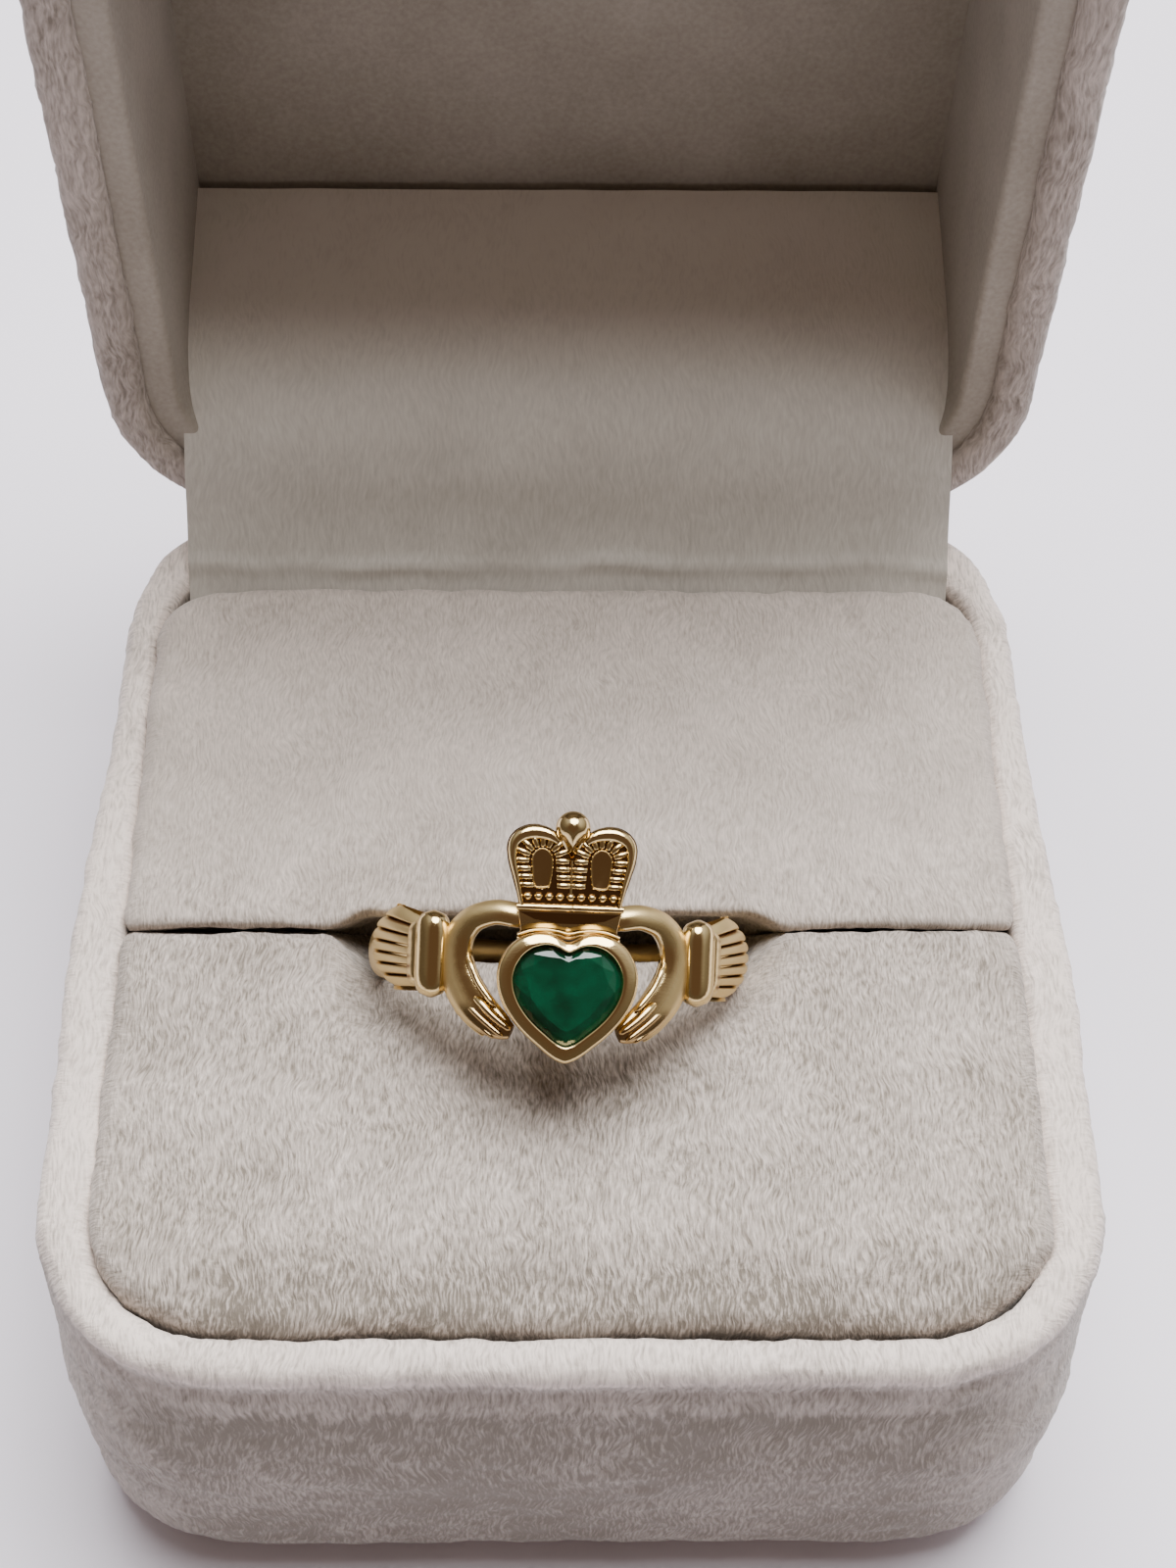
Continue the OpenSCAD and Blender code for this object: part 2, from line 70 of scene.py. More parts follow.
# Places closer together than this, in millimetres, are one
NEAR = 1e-3
UP = Vector((0, 0, 1))


def node_mm(node):
    low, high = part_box(node)
    return low / MM, high / MM


BASE_LOW, BASE_HIGH = node_mm("box_base")
PAD_LOW, PAD_HIGH = node_mm("cushion_front")
BACK_LOW, BACK_HIGH = node_mm("cushion_back")
FLAP_LOW, FLAP_HIGH = node_mm("hinge_flap")
HINGE = Vector(frame["joints"][0]["pos_m"]) / MM


# Settings that a user would change

def length(name, description, millimetres):
    return FloatProperty(name=name, description=description, default=millimetres * MM, unit="LENGTH", precision=5)


def slant(name, description, degrees):
    return FloatProperty(name=name, description=description, default=math.radians(degrees), subtype="ANGLE")


def colour(name, description, code):
    return FloatVectorProperty(name=name, description=description, default=srgb(code), subtype="COLOR", min=0, max=1)


def srgb(code):
    """Linear red, green and blue of an sRGB hex colour."""
    parts = [int(code[i:i + 2], 16) / 255 for i in (1, 3, 5)]
    return tuple(p / 12.92 if p <= 0.04045 else ((p + 0.055) / 1.055) ** 2.4 for p in parts)


class BoxSettings(bpy.types.PropertyGroup):
    corner_r: length("Corner radius", "Radius of the upright corners", 10)
    base_h: length("Base height", "Height of the base up to its rim", 24)
    base_wall: length("Base wall", "Thickness of the base's wall with its velvet", 3)
    base_floor: length("Base floor", "Thickness of the base's floor", 2)
    base_edge_r: length("Base edge", "Radius of the edge under the base", 4)
    lid_h: length("Lid height", "Height of the lid from its rim to its roof", 20)
    lid_wall: length("Lid wall", "Thickness of the lid's wall with its velvet", 2.6)
    lid_roof: length("Lid roof", "Thickness of the lid's roof", 1.6)
    lid_edge_r: length("Lid edge", "Radius of the edge round the roof", 5)
    lining_t: length("Lining", "Thickness of the felt lining", 1.4)
    lining_gap: length("Lining gap", "Gap between the lid's roof and its lining", 0.1)
    lining_set_in: length("Lining set in", "Distance from the lid's rim to the lining's edge", 0.75)
    seam: length("Seam", "Gap between the two rims when the box is shut", 0.6)
    knuckle_r: length("Knuckle radius", "Radius of the hinge's knuckles", 1)
    knuckle_len: length("Knuckle length", "Length of one knuckle of the hinge", 6)
    knuckle_gap: length("Knuckle gap", "Gap between one knuckle and the next", 0.3)
    pile: length("Pile", "How far the brushed pile rises and sinks", 0.13)
    rim_set_back: length("Rim set back", "How far the front of the rim stands behind the front wall", 1.5)
    rim_lean_in: length("Rim over the cushion", "How far the front of the rim reaches over the cushion", 0.75)


class CushionSettings(bpy.types.PropertyGroup):
    slot_y: length("Slot place", "Place of the slot, front to back", -2.7)
    slot_press: length("Slot press", "How far the cushions press into each other away from the ring", 0.6)
    side_press: length("Side press", "How far the cushions press against the base's wall", 0.4)
    edge_r: length("Rolled edge", "Radius of the cushions' rolled edge", 1.0)
    back_corner_r: length("Back corner", "Radius of the cushions' back corners", 3.7)
    lip_r: length("Lip", "Radius of the cushions' lips along the slot", 0.55)
    crown: length("Crown", "How far the middle of a cushion stands above its edge", 0.5)
    front_drop: length("Front drop", "How far the front edge of the cushions is rounded down", 1.0)
    front_push: length("Front push", "How far the ring pushes the front cushion away", 1.5)
    back_push: length("Back push", "How far the ring pushes the back cushion away", 0.85)


class RingSettings(bpy.types.PropertyGroup):
    finger_d: length("Finger size", "Inside diameter of the ring", 17.4)
    band_t: length("Band thickness", "Thickness of the band at its sides", 1.25)
    shank_w: length("Shank width", "Width of the band at the bottom", 1.4)
    shoulder_w: length("Shoulder width", "Width of the band where the cuffs end", 2.8)
    cuff_w: length("Cuff width", "Width of a cuff at its wide end", 4.15)
    groove: length("Groove depth", "Depth of the grooves in a cuff", 0.2)
    bar_len: length("Bar length", "Length of the round bar next to a cuff", 4.35)
    bar_d: length("Bar thickness", "Thickness of the round bar next to a cuff", 1.8)
    bezel_h: length("Setting height", "Height of the heart's setting", 1.65)
    crown_w: length("Crown width", "Width of the crown", 6.35)
    crown_h: length("Crown height", "Height of the crown", 4.6)
    crown_plate: length("Crown plate", "Thickness of the crown's plate", 0.75)
    orb_r: length("Orb", "Radius of the orb on the crown", 0.86)
    cuff_lobes: IntProperty(name="Cuff lobes", description="Number of lobes across a cuff", default=7)
    lean: slant("Lean", "Lean of the ring towards the front", 31)
    turn: slant("Turn", "Turn of the ring on the cushions", 2.2)
    roll: slant("Roll", "Turn of the ring in its slot, round the finger", 2.9)
    place_x: length("Place", "Place of the ring along the slot", -0.75)
    fore: length("Forward", "How far the ring stands in front of the slot's middle", 0.95)


class FinishSettings(bpy.types.PropertyGroup):
    velvet_light: colour("Velvet tips", "Colour of the velvet's pile where it catches the light", "#F0E2D8")
    # The dark end of the velvet's colours, for the gaps between fibres and for painted shade
    velvet_deep: colour("Velvet depth", "Colour between the velvet's fibres", "#7F766B")
    flap_light: colour("Flap pile", "Colour of the flap's short pile", "#EEE9DF")
    felt_light: colour("Felt", "Colour of the lid's lining", "#B2AA9E")
    felt_deep: colour("Felt depth", "Darker fibres of the felt", "#978F82")
    gold: colour("Gold", "Colour of the nine-carat gold", "#DFC58C")
    # The brown of the painted shade and dark reflections on the gold
    gold_deep: colour("Gold recesses", "Colour of the dulled gold in the recesses", "#6B4224")
    stone: colour("Stone", "Colour of the green stone", "#00442C")
    steel: colour("Steel", "Colour of the hinge pin", "#9A9CA0")
    floor: colour("Floor", "Colour of the floor", "#F9F4FE")


def mm(settings, name):
    return getattr(settings, name) / MM


# Modelling helpers

def mix(a, b, t):
    return a + (b - a) * t


def ease(t):
    """Rises smoothly from 0 to 1 as t does, and stays there."""
    t = min(max(t, 0), 1)
    return t * t * (3 - 2 * t)


def fade(distance, reach):
    """Falls from 1 at no distance to 0 at reach."""
    return 1 - ease(distance / reach)


def bump_at(distance, width):
    """A soft hump of height 1 round no distance."""
    return math.exp(-(distance / width) ** 2)


def deselect():
    bpy.ops.object.select_all(action="DESELECT")


def made(name):
    """Names the object that the last operator made."""
    obj = bpy.context.object
    obj.name = obj.data.name = name
    return obj


def add_shape(name, add, **settings):
    """Adds a primitive with nothing else selected."""
    deselect()
    add(**settings)
    return made(name)


def pick(*objects):
    deselect()
    for obj in objects:
        obj.select_set(True)
    bpy.context.view_layer.objects.active = objects[0]


@contextmanager
def editing(obj):
    pick(obj)
    bpy.ops.object.mode_set(mode="EDIT")
    bpy.ops.mesh.select_all(action="SELECT")
    yield
    bpy.ops.object.mode_set(mode="OBJECT")


def select_where(obj, kind, test):
    """In edit mode, selects only the verts, edges or faces that pass the test."""
    bpy.ops.mesh.select_all(action="DESELECT")
    bpy.ops.mesh.select_mode(type=kind.upper().removesuffix("S"))
    mesh = bmesh.from_edit_mesh(obj.data)
    for element in getattr(mesh, kind):
        if test(element):
            element.select_set(True)
    mesh.select_flush_mode()
    bmesh.update_edit_mesh(obj.data)


def face_outward():
    """In edit mode, turns all faces of a closed mesh outwards."""
    bpy.ops.mesh.select_all(action="SELECT")
    bpy.ops.mesh.normals_make_consistent(inside=False)


def level_at(z, element):
    """Whether all corners of an edge or face lie at one height."""
    return all(abs(v.co.z - z) < NEAR for v in element.verts)


def modify(obj, kind, **settings):
    pick(obj)
    modifier = obj.modifiers.new(kind.title(), kind)
    for name, value in settings.items():
        setattr(modifier, name, value)
    bpy.ops.object.modifier_apply(modifier=modifier.name)


def soften(obj, voxel, rounds):
    """Turns a mesh to an even skin of small faces, and smooths it."""
    modify(obj, "REMESH", mode="VOXEL", voxel_size=voxel)
    modify(obj, "SMOOTH", factor=0.5, iterations=rounds)


def joined(name, parts):
    pick(*parts)
    if len(parts) > 1:
        bpy.ops.object.join()
    return made(name)


def thicken(obj, thickness):
    """Gives a sheet its thickness on the inside, and turns its faces outwards."""
    modify(obj, "SOLIDIFY", thickness=thickness, offset=-1)
    outward(obj)
    smooth(obj, 60)


def outward(obj):
    with editing(obj):
        bpy.ops.mesh.remove_doubles(threshold=NEAR)
        face_outward()


def smooth(obj, degrees=180):
    pick(obj)
    bpy.ops.object.shade_smooth_by_angle(angle=math.radians(degrees))


def mirrored(obj):
    """A copy on the other side of the ring's middle."""
    pick(obj)
    bpy.ops.object.duplicate()
    copy = made(obj.name + "_right")
    copy.data.transform(Matrix.Scale(-1, 4, (1, 0, 0)))
    with editing(copy):
        bpy.ops.mesh.flip_normals()
    return copy


def shaped(obj, move):
    """Moves each vertex to where move(place, normal) puts it."""
    before = [(v.co.copy(), v.normal.copy()) for v in obj.data.vertices]
    for vertex, (place, normal) in zip(obj.data.vertices, before):
        vertex.co = move(place, normal)
    obj.data.update()


def through(points, steps):
    """More places on a smooth curve through a few points of any number of columns."""
    rows = [tuple(p) for p in points]
    rows = [rows[0]] + rows + [rows[-1]]
    places = []
    for i in range(1, len(rows) - 2):
        for k in range(steps):
            t = k / steps
            places.append(tuple(
                0.5 * (2 * b + (c - a) * t + (2 * a - 5 * b + 4 * c - d) * t * t + (3 * b - a - 3 * c + d) * t ** 3)
                for a, b, c, d in zip(*rows[i - 1:i + 3])))
    return places + [rows[-1]]


def sweep(name, places, sides=16, square=1.0, skew=0.0):
    """Extrudes a circle along places: each is a point, half the width, half the height and which way is up.

    square below 1 makes the section boxier, and skew moves its crest to one side.
    """
    obj = add_shape(name, bpy.ops.mesh.primitive_circle_add, vertices=sides, radius=1, fill_type="NGON")
    with editing(obj):
        mesh = bmesh.from_edit_mesh(obj.data)
        corner = mesh.verts.layers.int.new("corner")
        for k, vertex in enumerate(mesh.verts):
            vertex[corner] = k
        last = len(places) - 1
        for i, (point, wide, high, up) in enumerate(places):
            if i:
                bpy.ops.mesh.extrude_region_move()
            along = (places[min(i + 1, last)][0] - places[max(i - 1, 0)][0]).normalized()
            side = along.cross(up).normalized()
            top = side.cross(along)
            mesh = bmesh.from_edit_mesh(obj.data)
            corner = mesh.verts.layers.int["corner"]
            for vertex in mesh.verts:
                if vertex.select:
                    angle = math.tau * vertex[corner] / sides
                    across, rise = (math.copysign(abs(w) ** square, w) for w in (math.cos(angle), math.sin(angle)))
                    vertex.co = point + side * (wide * across + skew * high * max(rise, 0)) + top * high * rise
            bmesh.update_edit_mesh(obj.data)
        face_outward()
    smooth(obj, 60)
    return obj


def outline(name, points, resolution):
    """A closed smooth loop of edges through points, drawn as a curve."""
    obj = add_shape(name, bpy.ops.curve.primitive_bezier_circle_add, radius=1)
    spline = obj.data.splines[0]
    spline.bezier_points.add(len(points) - len(spline.bezier_points))
    for knot, (x, y) in zip(spline.bezier_points, points):
        knot.co = (x, y, 0)
        knot.handle_left_type = knot.handle_right_type = "AUTO"
    obj.data.dimensions = "3D"
    obj.data.resolution_u = resolution
    bpy.ops.object.convert(target="MESH")
    return made(name)


def fill_and_raise(floor, height):
    """In edit mode, fills a flat outline, lifts it to the floor and extrudes it."""
    bpy.ops.mesh.edge_face_add()
    bpy.ops.transform.translate(value=(0, 0, floor))
    bpy.ops.mesh.extrude_region_move(TRANSFORM_OT_translate={"value": (0, 0, height)})


def set_mark(obj, name, value):
    """Stores a number from 0 to 1 on each vertex, which the material reads."""
    mark = obj.data.attributes.get(name) or obj.data.attributes.new(name, "FLOAT", "POINT")
    mark.data.foreach_set("value", [min(max(value(v.co), 0), 1) for v in obj.data.vertices])


def mark_pile(obj, nap, tone):
    """Marks how far the velvet's fibres part, and the painted light and shade that make them paler or darker."""
    set_mark(obj, "nap", nap)
    set_mark(obj, "tone", tone)


def dress(obj, material, place=Matrix.Identity(4)):
    """Turns a piece from millimetres to metres in its place, and gives it its material."""
    obj.data.transform(Matrix.Scale(MM, 4) @ place)
    obj.data.materials.clear()
    obj.data.materials.append(material)


def finish_piece(obj, body, slot, material, *nodes, place=Matrix.Identity(4)):
    """Dresses a piece, hangs it on its body and hides the parts of the model that it stands for."""
    dress(obj, material, place)
    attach(obj, body)
    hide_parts(*nodes)


# Materials

def feed(node, inputs):
    """Gives a node's inputs their values. A node or a socket as a value is linked, a node by its first output."""
    for name, value in inputs.items():
        if isinstance(value, bpy.types.Node):
            value = next(socket for socket in value.outputs if socket.enabled)
        if isinstance(value, bpy.types.NodeSocket):
            node.id_data.links.new(value, node.inputs[name])
        else:
            node.inputs[name].default_value = value


def add_node(tree, kind, inputs=None, stops=(), **settings):
    """Adds a node with its settings and links. stops are a ramp's places and linear colours."""
    node = tree.nodes.new("ShaderNode" + kind)
    for name, value in settings.items():
        setattr(node, name, value)
    feed(node, inputs or {})
    if stops:
        points = node.color_ramp.elements
        while len(points) < len(stops):
            points.new(0.5)
        for point, (place, linear) in zip(points, stops):
            point.position = place
            point.color = rgba(linear)
    return node


def new_material(name):
    """A material, its shader, the way to add nodes to it, and the colours that the user chose."""
    material = bpy.data.materials.new(name)
    material.use_nodes = True
    tree = material.node_tree
    return material, tree.nodes["Principled BSDF"], partial(add_node, tree), bpy.context.scene.ring_box_finish


def made_once(make):
    """Gives the same material again for the same choices, as long as the file still has it."""
    names = {}

    def find(*choices):
        material = bpy.data.materials.get(names.get(choices, ""))
        if not material:
            material = make(*choices)
            names[choices] = material.name
        return material
    return find


def rgba(linear):
    return (*linear, 1)


def darker(linear, share):
    return tuple(share * part for part in linear)


# Cut-pile velvet: soft, matt, pale fibres that lean one way and show short darker gaps between them. The piece's
# "nap" mark says how far the fibres part, and its second mark how pale or dark the pile is painted, as painted light
# and shade.
# One fibre is too fine to show, so the streaks are drawn as wide and long as a small lock of them, in millimetres
@made_once
def velvet(name, streak_wide, streak_long, light="velvet_light"):
    material, shader, node, finish = new_material(name)
    place = node("TexCoord").outputs["Object"]
    nap, tone = (node("Attribute", attribute_name=mark).outputs["Fac"] for mark in ("nap", "tone"))
    # A hand has brushed the pile to and fro in patches of a few millimetres, so the streaks curve
    patch_size, curve = 5 * MM, 2.2 * MM
    brushed = node("TexNoise", {"Vector": place, "Scale": 1 / patch_size, "Detail": 3.0})
    lean = node("VectorMath", {0: brushed.outputs["Color"], 1: (0.5, 0.5, 0.5)}, operation="SUBTRACT")
    bend = node("VectorMath", {0: lean, "Scale": curve}, operation="SCALE")
    bent = node("VectorMath", {0: place, 1: bend}, operation="ADD")
    thin, long = 1 / (streak_wide * MM), 1 / (streak_long * MM)
    # The sides of the box are streaked along Y as its front is along X
    front, side = (node("TexNoise", {"Vector": node("Mapping", {"Vector": bent, "Scale": way}), "Scale": 1.0,
                                     "Detail": 3.0}) for way in ((thin, long, long), (long, thin, long)))
    normal = node("SeparateXYZ", {0: node("NewGeometry").outputs["Normal"]})
    facing = node("Math", {0: normal.outputs["X"]}, operation="ABSOLUTE")
    pile = node("Mix", {"Factor": facing, "A": front, "B": side})
    # How pale a place is: gaps between the fibres, then brushed patches, then the painted light and shade. A long nap
    # deepens both
    gaps = node("Math", {0: pile, 1: 0.5}, operation="SUBTRACT")
    parted = node("Math", {0: nap, 1: 1.95, 2: 0.22}, operation="MULTIPLY_ADD")
    cloud = node("Math", {0: brushed, 1: 0.5}, operation="SUBTRACT")
    rubbed = node("Math", {0: nap, 1: 0.6, 2: 0.15}, operation="MULTIPLY_ADD")
    patch = node("Math", {0: cloud, 1: rubbed, 2: tone}, operation="MULTIPLY_ADD")
    pale = node("Math", {0: gaps, 1: parted, 2: patch}, operation="MULTIPLY_ADD")
    tint = node("ValToRGB", {"Fac": pale}, [(0.0, finish.velvet_deep), (1.0, getattr(finish, light))])
    rough = node("Math", {0: nap, 1: 0.6, 2: 0.12}, operation="MULTIPLY_ADD")
    bump = node("Bump", {"Height": pile, "Strength": rough, "Distance": 0.25 * MM})
    feed(shader, {"Base Color": tint, "Normal": bump, "Roughness": 0.95, "Specular IOR Level": 0.2,
                  "Sheen Weight": 0.3, "Sheen Roughness": 0.45})
    return material


# Pressed felt: smooth and dull, with a faint mottle of finer fibres
@made_once
def felt():
    material, shader, node, finish = new_material("pressed_felt")
    place = node("TexCoord").outputs["Object"]
    fibre_size, mottle_size = 0.3 * MM, 7 * MM
    fibres = node("TexNoise", {"Vector": place, "Scale": 1 / fibre_size, "Detail": 4.0})
    mottle = node("TexNoise", {"Vector": place, "Scale": 1 / mottle_size, "Detail": 2.0})
    both = node("Math", {0: fibres, 1: mottle}, operation="ADD")
    pale = node("MapRange", {"Value": both, "From Min": 0.6, "From Max": 1.4})
    tint = node("ValToRGB", {"Fac": pale}, [(0.0, finish.felt_deep), (1.0, finish.felt_light)])
    bump = node("Bump", {"Height": fibres, "Strength": 0.25, "Distance": 0.12 * MM})
    feed(shader, {"Base Color": tint, "Normal": bump, "Roughness": 0.95, "Specular IOR Level": 0.2,
                  "Sheen Weight": 0.15})
    return material


# Cast nine-carat gold: mirror polish on the faces, a worn satin on the outsides, and brown painted shade and dark
# reflections
@made_once
def gold():
    material, shader, node, finish = new_material("cast_yellow_gold")
    recess, satin = (node("Attribute", attribute_name=mark).outputs["Fac"] for mark in ("recess", "satin"))
    place = node("TexCoord").outputs["Object"]
    wear_size, scratch_size = 0.5 * MM, 0.6 * MM
    wear = node("TexNoise", {"Vector": place, "Scale": 1 / wear_size, "Detail": 4.0})
    drawn = node("Mapping", {"Vector": place, "Scale": (1.0, 6.0, 6.0)})
    scratches = node("TexNoise", {"Vector": drawn, "Scale": 1 / scratch_size, "Detail": 3.0})
    tint = node("Mix", {"Factor": recess, "A": rgba(finish.gold), "B": rgba(finish.gold_deep)}, data_type="RGBA")
    dull = node("Math", {0: satin, 1: 0.4, 2: 0.04}, operation="MULTIPLY_ADD")
    worn = node("Math", {0: wear, 1: 0.10, 2: dull}, operation="MULTIPLY_ADD")
    bump = node("Bump", {"Height": scratches, "Strength": 0.08, "Distance": 0.05 * MM})
    feed(shader, {"Base Color": tint, "Normal": bump, "Roughness": worn, "Metallic": 1.0})
    return material


# Cut green stone: a deep green with darker clouds. The facets are polished, and painted light makes those that face
# up lighter
@made_once
def green_stone():
    material, shader, node, finish = new_material("cut_green_stone")
    place = node("TexCoord").outputs["Object"]
    cloud_size, sky = 1.6 * MM, (0.45, 0.75, 0.48)
    clouds = node("TexNoise", {"Vector": place, "Scale": 1 / cloud_size, "Detail": 2.0})
    tint = node("ValToRGB", {"Fac": clouds}, [(0.35, darker(finish.stone, 0.45)), (0.65, finish.stone)])
    # Painted light: each facet is made lighter the more it faces the sky
    facet = node("VectorMath", {0: node("NewGeometry").outputs["True Normal"], 1: sky}, operation="DOT_PRODUCT")
    light = node("MapRange", {"Value": facet.outputs["Value"], "From Min": -0.4, "From Max": 0.7, "To Min": 0.6,
                              "To Max": 2.6})
    lit = node("VectorMath", {0: tint, "Scale": light}, operation="SCALE")
    feed(shader, {"Base Color": lit, "Roughness": 0.02, "IOR": 1.58, "Transmission Weight": 0.45})
    return material


# Drawn steel wire: grey, with a fine grain along its length
@made_once
def steel():
    material, shader, node, finish = new_material("drawn_steel")
    along = node("Mapping", {"Vector": node("TexCoord").outputs["Object"], "Scale": (0.1, 1.0, 1.0)})
    grain_size = 0.1 * MM
    grain = node("TexNoise", {"Vector": along, "Scale": 1 / grain_size})
    rough = node("MapRange", {"Value": grain, "To Min": 0.25, "To Max": 0.45})
    feed(shader, {"Base Color": rgba(finish.steel), "Roughness": rough, "Metallic": 1.0})
    return material


# Painted table: smooth and pale, with the slightest unevenness
@made_once
def floor_paint():
    material, shader, node, finish = new_material("pale_floor")
    cloud_size = 60 * MM
    cloud = node("TexNoise", {"Vector": node("TexCoord").outputs["Object"], "Scale": 1 / cloud_size})
    tint = node("ValToRGB", {"Fac": cloud}, [(0.3, darker(finish.floor, 0.97)), (0.7, finish.floor)])
    feed(shader, {"Base Color": tint, "Roughness": 0.6})
    return material


# Box

KNUCKLES = 5
SHELL_VOXEL = 0.45


def rounded_block(name, low, high, corner_r, edge_r, edge_z, back_r=None):
    """A block with round upright corners and one rounded edge all round, at the height edge_z."""
    middle = (low.y + high.y) / 2
    obj = add_shape(name, bpy.ops.mesh.primitive_cube_add, size=1, location=(low + high) / 2, scale=high - low)
    bpy.ops.object.transform_apply()
    with editing(obj):
        for radius, way in ((corner_r, -1), (back_r or corner_r, 1)):
            select_where(obj, "edges", lambda e: abs(e.verts[0].co.z - e.verts[1].co.z) > NEAR
                         and way * (e.verts[0].co.y - middle) > 0)
            bpy.ops.mesh.bevel(offset=radius, segments=12, affect="EDGES")
        select_where(obj, "edges", partial(level_at, edge_z))
        bpy.ops.mesh.bevel(offset=edge_r, segments=8, affect="EDGES")
    return obj


def tray(name, low, high, corner_r, edge_r, wall, floor_t, rim_r, opens_up):
    """A block that is hollowed from its mouth, with a rolled rim."""
    mouth, way = (high.z, -1) if opens_up else (low.z, 1)
    obj = rounded_block(name, low, high, corner_r, edge_r, low.z if opens_up else high.z)
    with editing(obj):
        select_where(obj, "faces", partial(level_at, mouth))
        bpy.ops.mesh.inset(thickness=wall)
        bpy.ops.mesh.extrude_region_move(
            TRANSFORM_OT_translate={"value": (0, 0, way * (high.z - low.z - floor_t))})
        select_where(obj, "edges", lambda e: level_at(mouth, e)
                     and any(len(f.verts) == 4 and abs(f.normal.z) < 0.5 for f in e.link_faces))
        bpy.ops.mesh.bevel(offset=rim_r, segments=4, affect="EDGES")
    return obj


def knuckle_places(box, first):
    """Middles along the hinge of every second knuckle, from first on."""
    span, gap = mm(box, "knuckle_len"), mm(box, "knuckle_gap")
    start = -(KNUCKLES * span + (KNUCKLES - 1) * gap) / 2
    return [start + i * (span + gap) + span / 2 for i in range(first, KNUCKLES, 2)]


def hinge_rod(name, x, radius, span):
    return add_shape(name, bpy.ops.mesh.primitive_cylinder_add, vertices=32, radius=radius, depth=span,
                     location=(x, HINGE.y, HINGE.z), rotation=(0, math.pi / 2, 0))


def knuckles(box, first, way):
    """Every second knuckle of the hinge, from first on, with the web up or down that carries it."""
    reach = 3.0
    r, span = mm(box, "knuckle_r"), mm(box, "knuckle_len")
    depth = r + BASE_HIGH.y - HINGE.y
    parts = []
    for x in knuckle_places(box, first):
        parts.append(hinge_rod("knuckle", x, r, span))
        parts.append(add_shape("web", bpy.ops.mesh.primitive_cube_add, size=1, scale=(span, depth, reach),
                               location=(x, BASE_HIGH.y - depth / 2, HINGE.z + way * reach / 2)))
    obj = joined("knuckles", parts)
    bpy.ops.object.transform_apply()
    return obj


def hinged(obj, box, first, way):
    """Cuts room for the other half's knuckles, adds its own from first on, and makes one soft skin of it all."""
    r, gap, span = (mm(box, n) for n in ("knuckle_r", "knuckle_gap", "knuckle_len"))
    name = obj.name
    for x in knuckle_places(box, 1 - first):
        cut = hinge_rod("notch", x, r + gap, span + 2 * gap)
        modify(obj, "BOOLEAN", object=cut, operation="DIFFERENCE", solver="EXACT")
        bpy.data.objects.remove(cut)
    obj = joined(name, [obj, knuckles(box, first, way)])
    soften(obj, SHELL_VOXEL, 3)
    return obj


def raise_pile(obj, depth, spread):
    """Lifts and sinks a velvet surface as brushed pile does, but not next to the hinge."""
    hinge_clear, hinge_fade = 2, 3
    fine, elsewhere = spread * 0.3, Vector((9, 4, 7))

    def move(place, normal):
        lift = noise.noise(place / spread) + 0.7 * noise.noise(place / fine + elsewhere)
        away = math.hypot(place.y - HINGE.y, place.z - HINGE.z)
        return place + normal * depth * lift * ease((away - hinge_clear) / hinge_fade)
    shaped(obj, move)


def shell_velvet():
    return velvet("cut_pile_velvet", 0.16, 0.8)


def open_lid():
    """Turns the shut lid to where the open lid stands."""
    return Matrix.Translation(HINGE) @ Matrix.Rotation(math.radians(-90), 4, "X") @ Matrix.Translation(-HINGE)


def lid_foot(box):
    """Height of the shut lid's rim."""
    return mm(box, "base_h") + mm(box, "seam")


